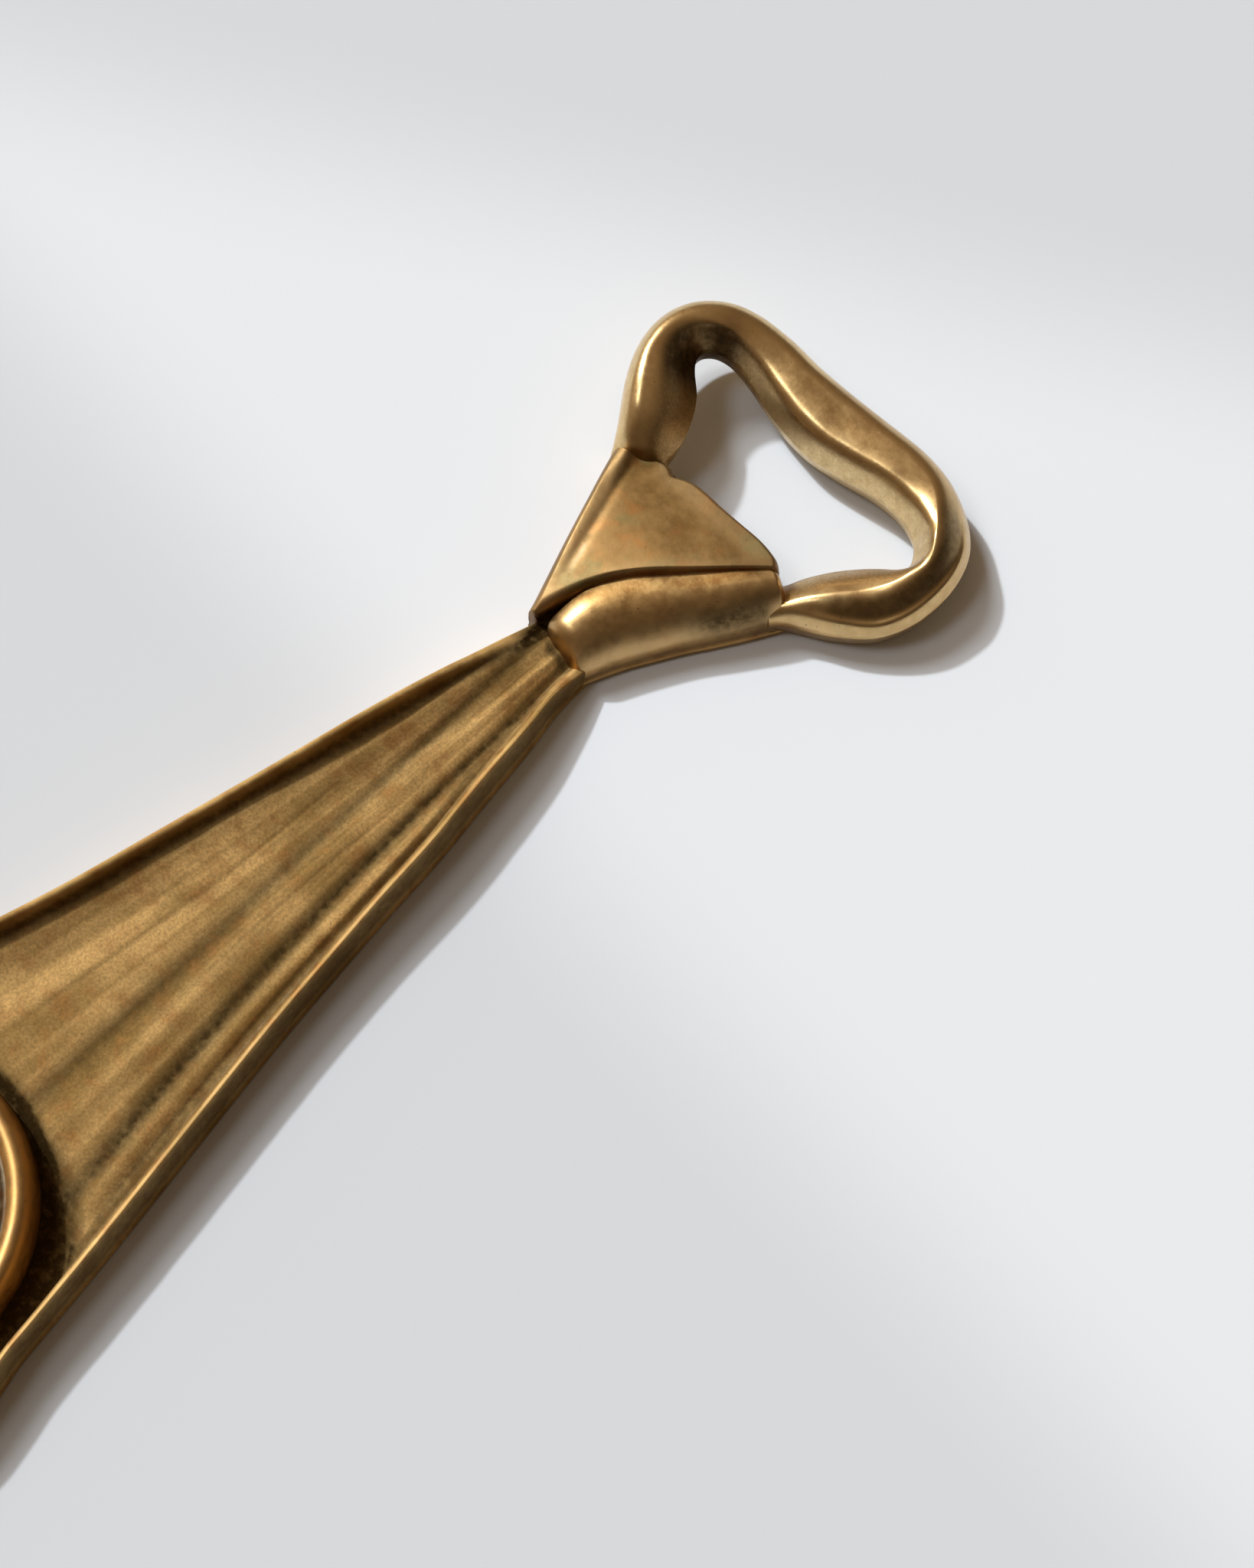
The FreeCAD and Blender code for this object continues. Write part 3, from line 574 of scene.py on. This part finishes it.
def roll_rings():
    """The roll's rings from the lip to the waist, and the painted shade along its right side."""
    grid, spacing, t, width = patch(ROLL_LEFT, ROLL_RIGHT, ROLL_LIP, 260, 130)
    from_left, from_right = spacing * width, (1 - spacing) * width
    crown = follow(t, [(0, 6.9), (0.1, 7.1), (0.3, 7.1), (0.6, 7.0), (0.8, 6.8), (1, 6.0)])
    low = 1.5
    drop = follow(t, [(0, 0.04), (0.4, 0.05), (0.7, 0.10), (0.9, 0.22), (1, 0.35)])
    left_share = np.clip(from_left / (0.3 * width), 0, 1)
    left_side = 1 - drop * (1 - left_share) ** 1.9
    right_side = shoulder(from_right / (0.68 * width), 1.8)
    along = np.linalg.norm(grid - grid[-1:], axis=2)
    z = low + (crown - low) * left_side * right_side * shoulder(along / 2.6 + 0.01, 2.1)
    from_lip = np.linalg.norm(grid - grid[:1], axis=2)
    z = low + (z - low) * shoulder(from_lip / 1.1 + 0.02, 2.2)
    right_wall = [(0.03, 1.0), (0.14, 0.75), (0.26, 0.6), (0.1, 0.1), (-0.6, 0.0), (-1.6, 0.8)]
    # The right side near the lip is darkened as painted shade.
    right_side_shade = 0.8 * bump_at(from_right, 0.9, 1.0) * ease(0.04, 0.12, t) * ease(0.55, 0.3, t)
    rings = walled(grid, z, [(-0.3, 1.6), (-0.7, 1.0)], right_wall)
    return rings, pad_mark(right_side_shade, rings)


def core_rings():
    """The knot's core: a flat-backed slab whose front shows only at the lip."""
    corners = [(-4.2, 40.2), (-8.8, 50.6), (-13.2, 60.8), (-11.2, 61.8), (-8.6, 62.9)]
    corners += [(-6.4, 63.5), (0.0, 63.8), (6.4, 63.9), (8.8, 63.6), (11.2, 62.3), (13.4, 60.5)]
    corners += [(10.6, 56.8), (7.2, 50.4), (4.2, 43.8), (3.4, 40.2), (0.0, 39.9), (-4.2, 40.2)]
    outline = even_path(corners, 400)[:-1]
    along = len(outline)
    middle = np.array([0.0, 54.0])
    levels = [(0.93, 0.0), (0.95, 0.1), (0.965, 0.4), (0.97, 1.0), (0.955, 1.6), (0.93, 2.4)]
    levels += [(0.90, 3.0), (0.80, 3.4), (0.5, 3.8)]
    return np.array(
        [
            np.column_stack([middle + (outline - middle) * size, np.full(along, z)])
            for size, z in levels
        ]
    )


# ---------------------------------------------------------------- medallion

RING_SECTION = [(14.5, 1.45), (14.5, 4.6), (14.75, 5.5), (15.2, 6.0), (15.8, 6.2), (16.35, 6.05)]
RING_SECTION += [(16.75, 5.6), (17.0, 4.9), (17.15, 3.6), (17.25, 2.4), (17.25, 1.45), (15.9, 1.4)]


STAR_POINTS = 8
STAR_RADIUS = 9.6
RAYS = 48
BEADS = 60
BEAD_CIRCLE = 12.7
BEAD_RADIUS = 0.6
DISC_COLUMNS = 480


def turned_rings(section, count):
    """Rings of a closed section turned about the medallion's centre."""
    angles = np.linspace(0, TAU, count, endpoint=False)
    radius, z = section[:, 0], section[:, 1]
    x = MEDAL[0] + radius[None] * np.cos(angles)[:, None]
    y = MEDAL[1] + radius[None] * np.sin(angles)[:, None]
    return np.stack([x, y, np.broadcast_to(z, x.shape)], axis=-1)


def ring_mesh(name, rings, material, nodes):
    """A closed mesh over rings that join up with the first again."""
    rows, columns, _ = rings.shape
    quads = quads_between(rows, rows, columns)
    points = rings.reshape(-1, 3) * MM
    return add_piece(name, points, quads.tolist(), material, nodes)


def bezel_rings():
    """The raised ring, turned."""
    section = np.array(RING_SECTION + RING_SECTION[:1])
    dense = even_path(section, 61)[:-1]
    return turned_rings(dense, 420)


def disc_height(radius, angle):
    """The struck face: a dished field, a star, a ring of rays and a beaded border."""
    field = 3.3 + 0.5 * (radius / 14.4) ** 2
    step = TAU / STAR_POINTS
    turned = np.abs((angle + step / 2) % step - step / 2)
    reach = STAR_RADIUS / (1 + 2.4 * turned / (step / 2))
    star = np.clip((reach - radius) / 1.5, 0, 1) * 0.75
    ray_band = ease(STAR_RADIUS, 10.2, radius) * (1 - ease(11.2, 11.8, radius))
    rays = 0.12 * np.cos(RAYS * angle) * ray_band
    bead_step = TAU / BEADS
    bead_angle = (angle % bead_step) - bead_step / 2
    from_bead = (radius - BEAD_CIRCLE) ** 2 + (bead_angle * BEAD_CIRCLE) ** 2
    bead = np.clip(1 - from_bead / BEAD_RADIUS**2, 0, 1)
    line = 0.25 * bump_at(radius, 11.7, 0.22) + 0.2 * bump_at(radius, 13.7, 0.25)
    return field + star + rays + 0.55 * np.sqrt(bead) + line


def disc_rings():
    """Rings of the disc from the middle of its face out, down and under to the stud."""
    angles = np.linspace(0, TAU, DISC_COLUMNS, endpoint=False)
    radii = np.concatenate([[0.05], np.linspace(0.25, 14.45, 110)])
    rings = [around(radius, angles, disc_height(radius, angles)) for radius in radii]
    back = [(14.45, 2.6), (14.2, 2.05), (9.0, 2.0), (2.0, 1.95), (2.0, 0.95)]
    stud_head = [(2.95, 0.85), (3.0, 0.15), (2.8, 0.0), (1.5, 0.0), (0.1, 0.0)]
    for radius, z in back + stud_head:
        rings.append(around(radius, angles, np.full(DISC_COLUMNS, z)))
    return np.array(rings)


def around(radius, angles, z):
    """A ring of points about the medallion's centre."""
    x = MEDAL[0] + radius * np.cos(angles)
    y = MEDAL[1] + radius * np.sin(angles)
    return np.column_stack([x, y, z])


# ---------------------------------------------------------------- creases and worn ridges

CELL = 0.2


def blur(height, sigma):
    """The map under a bell of that size in mm."""
    reach = int(3 * sigma / CELL) + 1
    bell = np.exp(-0.5 * (np.arange(-reach, reach + 1) * CELL / sigma) ** 2)
    bell /= bell.sum()
    padded = np.pad(height, reach, mode="edge")
    rows = np.apply_along_axis(lambda v: np.convolve(v, bell, mode="valid"), 0, padded)
    return np.apply_along_axis(lambda v: np.convolve(v, bell, mode="valid"), 1, rows)


def face_samples(mesh, steps=4):
    """Points spread over every four-sided face, besides its corners."""
    corners = [list(f.vertices) for f in mesh.polygons if f.loop_total == 4]
    points = mesh_points(mesh)[np.array(corners)] / MM
    points = points[points[..., 2].max(1) > 1.0]
    samples = []
    for u in (np.arange(steps) + 0.5) / steps:
        first = points[:, 0] * (1 - u) + points[:, 1] * u
        second = points[:, 3] * (1 - u) + points[:, 2] * u
        for v in (np.arange(steps) + 0.5) / steps:
            samples.append(first * (1 - v) + second * v)
    return np.concatenate(samples)


def height_map(pieces):
    """The highest z over each cell of a grid, and the grid's low corner, in mm."""
    cloud = np.concatenate([face_samples(p.data) for p in pieces])
    low = cloud[:, :2].min(0) - 4
    size = np.ceil((cloud[:, :2].max(0) + 4 - low) / CELL).astype(int) + 1
    index = ((cloud[:, :2] - low) / CELL).astype(int)
    flat = index[:, 0] * size[1] + index[:, 1]
    top = np.zeros(size[0] * size[1])
    np.maximum.at(top, flat, cloud[:, 2])
    return top.reshape(size), low


def read_map(values, low, points):
    """The map's value at each point, blended between cells."""
    place = (points[:, :2] - low) / CELL - 0.5
    cell = np.floor(place).astype(int)
    cell = np.clip(cell, 0, np.array(values.shape) - 2)
    share = np.clip(place - cell, 0, 1)
    i, j = cell.T
    u, v = share.T
    return (
        values[i, j] * (1 - u) * (1 - v)
        + values[i + 1, j] * u * (1 - v)
        + values[i, j + 1] * (1 - u) * v
        + values[i + 1, j + 1] * u * v
    )


# The hollow between the knot's pieces and the blade is darkened as painted shade: its place, size
# and top.
HOLLOW_AT = (-3.3, 40.4)
HOLLOW_SIZE = (1.0, 2.2)
HOLLOW_TOP = 5.6
# How much of the dirt in its creases a piece keeps, where that isn't all of it.
CREASE_DIRT = {"loop_casting": 0.12, "knot_leaf": 0.4, "knot_roll": 0.15}
# How bright each piece's ridges are worn, where that isn't wholly.
RIDGE_WEAR = {
    "tie_blade_casting": 0.0,
    "knot_leaf": 0.15,
    "knot_roll": 0.35,
    "loop_casting": 0.55,
    "medal_ring": 0.2,
}


def mark_wear(pieces):
    """Writes each piece's crease and ridge attributes, both 0 to 1. The crease attribute is dirt,
    with painted shade in the hollow by the knot.
    """
    top, low = height_map(pieces)
    fine = blur(top, 0.3)
    near, far = blur(top, 0.9) - fine, blur(top, 2.4) - fine
    for piece in pieces:
        points = mesh_points(piece.data) / MM
        close, wide = read_map(near, low, points), read_map(far, low, points)
        level = read_map(fine, low, points)
        hidden = ease(0.8, 2.5, level - points[:, 2])
        crease_dirt_and_shade = 0.55 * ease(0.02, 0.22, close) + 0.75 * ease(0.15, 1.0, wide)
        crease_dirt_and_shade *= ease(0.9, 1.8, points[:, 2]) * CREASE_DIRT.get(piece.name, 1.0)
        ridge = ease(0.03, 0.5, -close - 0.25 * wide) * (1 - hidden)
        ridge *= RIDGE_WEAR.get(piece.name, 1.0)
        # Painted shade in the hollow by the knot joins the crease dirt.
        hollow_shade = ease(HOLLOW_TOP, HOLLOW_TOP - 1, points[:, 2])
        for axis in (0, 1):
            hollow_shade *= bump_at(points[:, axis], HOLLOW_AT[axis], HOLLOW_SIZE[axis])
        crease_dirt_and_shade = np.clip(crease_dirt_and_shade + 1.2 * hollow_shade, 0, 1) * (1 - 0.6 * hidden)
        write_attribute(piece, "crease_dirt_and_shade", crease_dirt_and_shade)
        write_attribute(piece, "ridge", ridge)


def write_attribute(piece, name, values):
    """A value at each of the piece's points, for its material to read."""
    attribute = piece.data.attributes.new(name, "FLOAT", "POINT")
    attribute.data.foreach_set("value", values.astype(np.float32))


# ---------------------------------------------------------------- materials


class Nodes:
    """Short calls for adding nodes to one material."""

    def __init__(self, name):
        self.material = bpy.data.materials.new(name)
        self.material.use_nodes = True
        self.tree = self.material.node_tree
        self.shader = self.tree.nodes["Principled BSDF"]

    def add(self, kind, **settings):
        """A new node of that kind, with those settings."""
        node = self.tree.nodes.new(kind)
        for key, value in settings.items():
            setattr(node, key, value)
        return node

    def link(self, output, target):
        """Joins an output to an input."""
        self.tree.links.new(output, target)

    def place(self):
        """Object coordinates, in metres."""
        return self.add("ShaderNodeTexCoord").outputs["Object"]

    def noise(self, size_mm, detail=3.0, roughness=0.55):
        """A noise whose features are about that many millimetres across."""
        node = self.add("ShaderNodeTexNoise")
        node.inputs["Scale"].default_value = 1 / (size_mm * MM)
        node.inputs["Detail"].default_value = detail
        node.inputs["Roughness"].default_value = roughness
        self.link(self.place(), node.inputs["Vector"])
        return node.outputs["Fac"]

    def attribute(self, name):
        """A value kept at the piece's points."""
        node = self.add("ShaderNodeAttribute", attribute_name=name)
        return node.outputs["Fac"]

    def scale(self, source, low, high, out_low=0.0, out_high=1.0, curve="LINEAR"):
        """Maps low..high to out_low..out_high, clamped."""
        node = self.add("ShaderNodeMapRange", interpolation_type=curve)
        node.inputs["From Min"].default_value = low
        node.inputs["From Max"].default_value = high
        node.inputs["To Min"].default_value = out_low
        node.inputs["To Max"].default_value = out_high
        self.link(source, node.inputs["Value"])
        return node.outputs["Result"]

    def math(self, operation, first, second):
        """The operation on two values; each is a number or an output."""
        node = self.add("ShaderNodeMath", operation=operation)
        for index, value in enumerate((first, second)):
            if isinstance(value, (int, float)):
                node.inputs[index].default_value = value
            else:
                self.link(value, node.inputs[index])
        return node.outputs["Value"]

    def mix(self, share, first, second):
        """A colour between two; each is a colour or an output."""
        node = self.add("ShaderNodeMix", data_type="RGBA")
        self.link(share, node.inputs["Factor"])
        for key, value in (("A", first), ("B", second)):
            socket = next(s for s in node.inputs if s.name == key and s.type == "RGBA")
            if isinstance(value, tuple):
                socket.default_value = (*value, 1.0)
            else:
                self.link(value, socket)
        return next(s for s in node.outputs if s.type == "RGBA")

    def bump(self, height, distance_mm, strength, base=None):
        """A normal that follows the height, over the base normal if there is one."""
        node = self.add("ShaderNodeBump")
        node.inputs["Strength"].default_value = strength
        node.inputs["Distance"].default_value = distance_mm * MM
        self.link(height, node.inputs["Height"])
        if base is not None:
            self.link(base, node.inputs["Normal"])
        return node.outputs["Normal"]


# Colours that every brass shares. The worn colour also serves as a painted sheen, and the dirt
# colour also as painted shade.
COPPER_STAIN = (0.34, 0.15, 0.045)
GREEN_STAIN = (0.17, 0.15, 0.06)
WORN_AND_SHEEN = (0.88, 0.66, 0.34)
DIRT_AND_SHADE = (0.022, 0.011, 0.003)
CAST_PITS = (0.09, 0.05, 0.014)
SPECKS = (0.07, 0.045, 0.015)


def aged_brass(name, metal, patina, share, roughness, sparkle, green_share):
    """Cast brass under a brown patina: mottled on the flats, black in the creases and where
    shade is painted, worn bright on the ridges and bright where a sheen is painted, and grainy
    where it is left as cast. Share is how much of the surface the patina covers, and sparkle is
    the weight of a thin glossy coat on it."""
    nodes = Nodes(name)
    shader = nodes.shader
    ridge, cast = nodes.attribute("ridge"), nodes.attribute("cast")
    # Wear and painted sheen brighten the colour; dirt and painted shade darken it.
    worn = nodes.math("MAXIMUM", ridge, nodes.attribute("worn"))
    crease_dirt_and_shade = nodes.math("MAXIMUM", nodes.attribute("crease_dirt_and_shade"), nodes.attribute("groove"))
    mottle = nodes.scale(nodes.noise(1.3, 5.0, 0.65), 0.36, 0.64)
    grains = nodes.noise(0.30, 3.0, 0.6)
    cover = nodes.scale(nodes.noise(7.0, 4.0), 0.36, 0.64, share - 0.3, share + 0.3)
    cover = nodes.math("ADD", cover, nodes.scale(mottle, 0.0, 1.0, -0.16, 0.16))
    cover = nodes.math("ADD", cover, nodes.scale(nodes.attribute("streak"), 0.2, 0.8, -0.3, 0.3))
    cover = nodes.math("SUBTRACT", cover, nodes.scale(worn, 0.0, 1.0, 0.0, 0.6))
    colour = nodes.mix(nodes.scale(cover, 0.0, 1.0), metal, patina)
    copper = nodes.scale(nodes.noise(2.6, 5.0), 0.50, 0.66, 0.0, share)
    colour = nodes.mix(copper, colour, COPPER_STAIN)
    green = nodes.scale(nodes.noise(4.2, 5.0), 0.54, 0.68, 0.0, green_share)
    colour = nodes.mix(green, colour, GREEN_STAIN)
    wear_and_sheen_share = nodes.math("MULTIPLY", worn, nodes.scale(mottle, 0.0, 1.0, 0.55, 0.85))
    colour = nodes.mix(wear_and_sheen_share, colour, WORN_AND_SHEEN)
    broken = nodes.scale(nodes.noise(0.8, 4.0), 0.25, 0.6, 0.75, 1.1)
    dirt_and_shade_weight = nodes.math("MINIMUM", nodes.math("MULTIPLY", crease_dirt_and_shade, broken), 0.97)
    colour = nodes.mix(dirt_and_shade_weight, colour, DIRT_AND_SHADE)
    pitted = nodes.math("MULTIPLY", cast, nodes.scale(grains, 0.35, 0.65, 0.35, 0.0))
    colour = nodes.mix(pitted, colour, CAST_PITS)
    specks = nodes.scale(nodes.noise(0.45, 2.0), 0.70, 0.75, 0.0, 0.5)
    colour = nodes.mix(specks, colour, SPECKS)
    nodes.link(colour, shader.inputs["Base Color"])
    shader.inputs["Metallic"].default_value = 1.0
    rough = nodes.math("ADD", nodes.scale(mottle, 0.0, 1.0, 0.05, -0.05), roughness)
    rough = nodes.math("SUBTRACT", rough, nodes.scale(worn, 0.0, 1.0, 0.0, 0.08))
    rough = nodes.math("ADD", rough, nodes.scale(cast, 0.0, 1.0, 0.0, 0.12))
    nodes.link(rough, shader.inputs["Roughness"])
    clean = nodes.math("SUBTRACT", 1.0, nodes.math("MAXIMUM", dirt_and_shade_weight, cast))
    nodes.link(nodes.scale(clean, 0.0, 1.0, 0.0, sparkle), shader.inputs["Coat Weight"])
    shader.inputs["Coat Roughness"].default_value = 0.15
    coarse = nodes.bump(nodes.noise(1.1, 4.0, 0.6), 0.03, 0.5)
    nodes.link(coarse, shader.inputs["Coat Normal"])
    sand = nodes.math("MULTIPLY", grains, nodes.scale(cast, 0.0, 1.0, 0.35, 1.2))
    nodes.link(nodes.bump(sand, 0.014, 0.7, coarse), shader.inputs["Normal"])
    return nodes.material


PAPER_DIM = (0.555, 0.562, 0.575)
PAPER_LIT = (0.665, 0.675, 0.692)
# Each side of the wedge of light painted on the paper: two points in mm along its middle, lit to
# the left of the way from the first to the second, and how soft it is either side in mm.
UPPER_LINE = ((46.0, 136.0), (-92.0, 44.0), 16.0)
LOWER_LINE = ((-78.0, 22.0), (96.0, 27.0), 14.0)


def paper():
    """Smooth white paper with a wedge of window light with soft sides painted into its colour."""
    nodes = Nodes("paper")
    split = nodes.add("ShaderNodeSeparateXYZ")
    nodes.link(nodes.place(), split.inputs["Vector"])
    x, y = split.outputs["X"], split.outputs["Y"]
    upper = half_plane(nodes, x, y, UPPER_LINE)
    lower = half_plane(nodes, x, y, LOWER_LINE)
    lit = nodes.math("MULTIPLY", upper, lower)
    colour = nodes.mix(lit, PAPER_DIM, PAPER_LIT)
    nodes.link(colour, nodes.shader.inputs["Base Color"])
    nodes.shader.inputs["Roughness"].default_value = 0.9
    nodes.shader.inputs["Specular IOR Level"].default_value = 0.2
    nodes.link(nodes.bump(nodes.noise(0.5, 4.0), 0.02, 0.25), nodes.shader.inputs["Normal"])
    return nodes.material


def half_plane(nodes, x, y, line):
    """0 to 1 across a soft straight edge."""
    (ax, ay), (bx, by), soft = line
    length = math.hypot(bx - ax, by - ay)
    nx, ny = -(by - ay) / length, (bx - ax) / length
    along_x = nodes.math("MULTIPLY", x, nx)
    along_y = nodes.math("MULTIPLY", y, ny)
    away = nodes.math("ADD", along_x, along_y)
    middle = (ax * nx + ay * ny) * MM
    return nodes.scale(away, middle - soft * MM, middle + soft * MM, curve="SMOOTHSTEP")


# ---------------------------------------------------------------- stage


FLOOR_HALF_METRES = 2.5
LENS_MM = 61.52
SENSOR_MM = 36.0
CAMERA_AT = Vector((87.14, -26.33, 263.11)) * MM
CAMERA_LOOKS_AT = Vector((15.08, 36.75, 0.0)) * MM

DAYLIGHT = (0.88, 0.955, 1.02)
SUN_FROM = Vector((-0.725, -0.048, 0.687))
# Each lamp's strength, width in degrees, and the direction that it shines from.
LAMPS = {
    "sun": (2.6, 2.5, SUN_FROM),
    "glow": (1.5, 15.0, Vector((-0.66, -0.05, 0.75))),
    "window": (0.45, 16.0, Vector((-0.29, -0.38, 0.88))),
}
# The room's brightness from the side away from the sun, at 0, towards the sun, at 1.
ROOM_LEVELS = {0.0: 0.03, 0.35: 0.08, 0.6: 0.17, 0.8: 0.27, 0.9: 0.34, 0.97: 0.6}
ROOM_TINT = (1.0, 0.71, 0.45)
ROOM_BY_THE_SUN = (1.1, 0.9, 0.75)


def add_floor():
    """The sheet of paper that the opener lies on."""
    half = FLOOR_HALF_METRES
    corners = [(-half, -half, 0), (half, -half, 0), (half, half, 0), (-half, half, 0)]
    mesh = bpy.data.meshes.new("floor")
    mesh.from_pydata(corners, [], [(0, 1, 2, 3)])
    mesh.materials.append(paper())
    floor = bpy.data.objects.new("floor", mesh)
    bpy.context.scene.collection.objects.link(floor)


def aim(thing, position, target):
    """Puts a camera or lamp at the position, looking at the target."""
    thing.location = position
    direction = Vector(target) - Vector(position)
    thing.rotation_euler = direction.to_track_quat("-Z", "Y").to_euler()


def add_camera():
    """Looks down at 70 degrees from the tie's right, with the blade running off one side."""
    data = bpy.data.cameras.new("camera")
    data.lens = LENS_MM
    data.sensor_width = SENSOR_MM
    data.clip_start, data.clip_end = 0.01, 20.0
    camera = bpy.data.objects.new("camera", data)
    bpy.context.scene.collection.objects.link(camera)
    aim(camera, CAMERA_AT, CAMERA_LOOKS_AT)
    bpy.context.scene.camera = camera


def add_sun(name, energy, width, towards):
    """A lamp that shines from far away in that direction."""
    sun = bpy.data.lights.new(name, "SUN")
    sun.energy = energy
    sun.angle = math.radians(width)
    sun.color = DAYLIGHT
    lamp = bpy.data.objects.new(name, sun)
    bpy.context.scene.collection.objects.link(lamp)
    aim(lamp, towards * 1.5, (0, 0, 0))


def add_room():
    """A warm room, brightest behind the sun and dark on the other side."""
    world = bpy.data.worlds.new("room")
    world.use_nodes = True
    bpy.context.scene.world = world
    tree = world.node_tree
    where = tree.nodes.new("ShaderNodeTexCoord")
    towards_sun = tree.nodes.new("ShaderNodeVectorMath")
    towards_sun.operation = "DOT_PRODUCT"
    towards_sun.inputs[1].default_value = SUN_FROM
    tree.links.new(where.outputs["Generated"], towards_sun.inputs[0])
    spread = tree.nodes.new("ShaderNodeMapRange")
    spread.inputs["From Min"].default_value = -1.0
    tree.links.new(towards_sun.outputs["Value"], spread.inputs["Value"])
    ramp = tree.nodes.new("ShaderNodeValToRGB")
    tree.links.new(spread.outputs["Result"], ramp.inputs["Fac"])
    stops = ramp.color_ramp.elements
    stops[0].position, stops[1].position = 0.0, 1.0
    stops[1].color = (*ROOM_BY_THE_SUN, 1)
    for position, level in ROOM_LEVELS.items():
        stop = stops[0] if position == 0 else stops.new(position)
        stop.color = (*(level * part for part in ROOM_TINT), 1)
    tree.links.new(ramp.outputs["Color"], tree.nodes["Background"].inputs["Color"])


def add_lights():
    """The sun from the tie's left inside a soft glow, a weak window, and the room."""
    for name, lamp in LAMPS.items():
        add_sun(name, *lamp)
    add_room()


# ---------------------------------------------------------------- the object


# Each brass: the metal's colour and the patina's, the patina's share, the roughness, the
# sparkle, and the share of green stains.
BRASSES = {
    "blade_brass": ((0.62, 0.41, 0.165), (0.33, 0.20, 0.065), 0.5, 0.70, 0.03, 0.1),
    "knot_brass": ((0.32, 0.185, 0.068), (0.14, 0.075, 0.022), 0.55, 0.56, 0.1, 0.6),
    "roll_brass": ((0.52, 0.31, 0.115), (0.27, 0.145, 0.043), 0.5, 0.40, 0.12, 0.25),
    "loop_brass": ((0.45, 0.268, 0.097), (0.22, 0.118, 0.033), 0.5, 0.35, 0.10, 0.25),
    "medal_brass": ((0.50, 0.26, 0.07), (0.28, 0.13, 0.03), 0.5, 0.5, 0.05, 0.1),
    "disc_brass": ((0.50, 0.41, 0.28), (0.28, 0.21, 0.13), 0.5, 0.6, 0.05, 0.1),
}


def build_pieces():
    """The seven pieces, each in place of its CAD node. Roughen takes the height and length
    of the unevenness in mm, and a seed."""
    blade, knot, roll, loop, medal, face = (
        aged_brass(name, *brass) for name, brass in BRASSES.items()
    )
    blade_shape, groove, cast, streak = blade_rings()
    leaf_shape, valley = leaf_rings()
    roll_shape, right_side_shade = roll_rings()
    loop_shape, sandy, worn, painted_shade = loop_rings()
    return [
        skin("tie_blade_casting", roughen(blade_shape, 0.02, 5.0, 3), blade, "blade",
             ["tie_blade"], groove=groove, cast=cast, streak=streak),
        skin("knot_core", core_rings(), knot, "knot", ["knot_body"]),
        skin("knot_leaf", roughen(leaf_shape, 0.03, 6.0, 5), knot, "leaf",
             ["knot_front_leaf"], groove=valley),
        skin("knot_roll", roughen(roll_shape, 0.03, 5.0, 7), roll, "roll",
             ["knot_side_roll"], groove=right_side_shade),
        skin("loop_casting", roughen(loop_shape, 0.03, 6.0, 11), loop, "loop",
             ["opener_loop"], cast=sandy, worn=worn, groove=painted_shade),
        ring_mesh("medal_ring", bezel_rings(), medal, ["medallion_bezel"]),
        skin("medal_disc", disc_rings(), face, "disc", ["medallion_disc"]),
    ]


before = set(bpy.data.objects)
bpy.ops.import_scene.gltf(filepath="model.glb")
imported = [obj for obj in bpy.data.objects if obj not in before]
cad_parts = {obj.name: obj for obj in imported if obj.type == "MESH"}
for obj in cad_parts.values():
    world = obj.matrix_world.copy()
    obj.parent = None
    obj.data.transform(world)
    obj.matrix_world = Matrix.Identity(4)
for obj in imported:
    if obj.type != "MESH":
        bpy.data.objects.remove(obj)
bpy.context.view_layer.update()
add_camera()
add_lights()
add_floor()
mark_wear(build_pieces())
bpy.context.scene.view_settings.view_transform = "Standard"
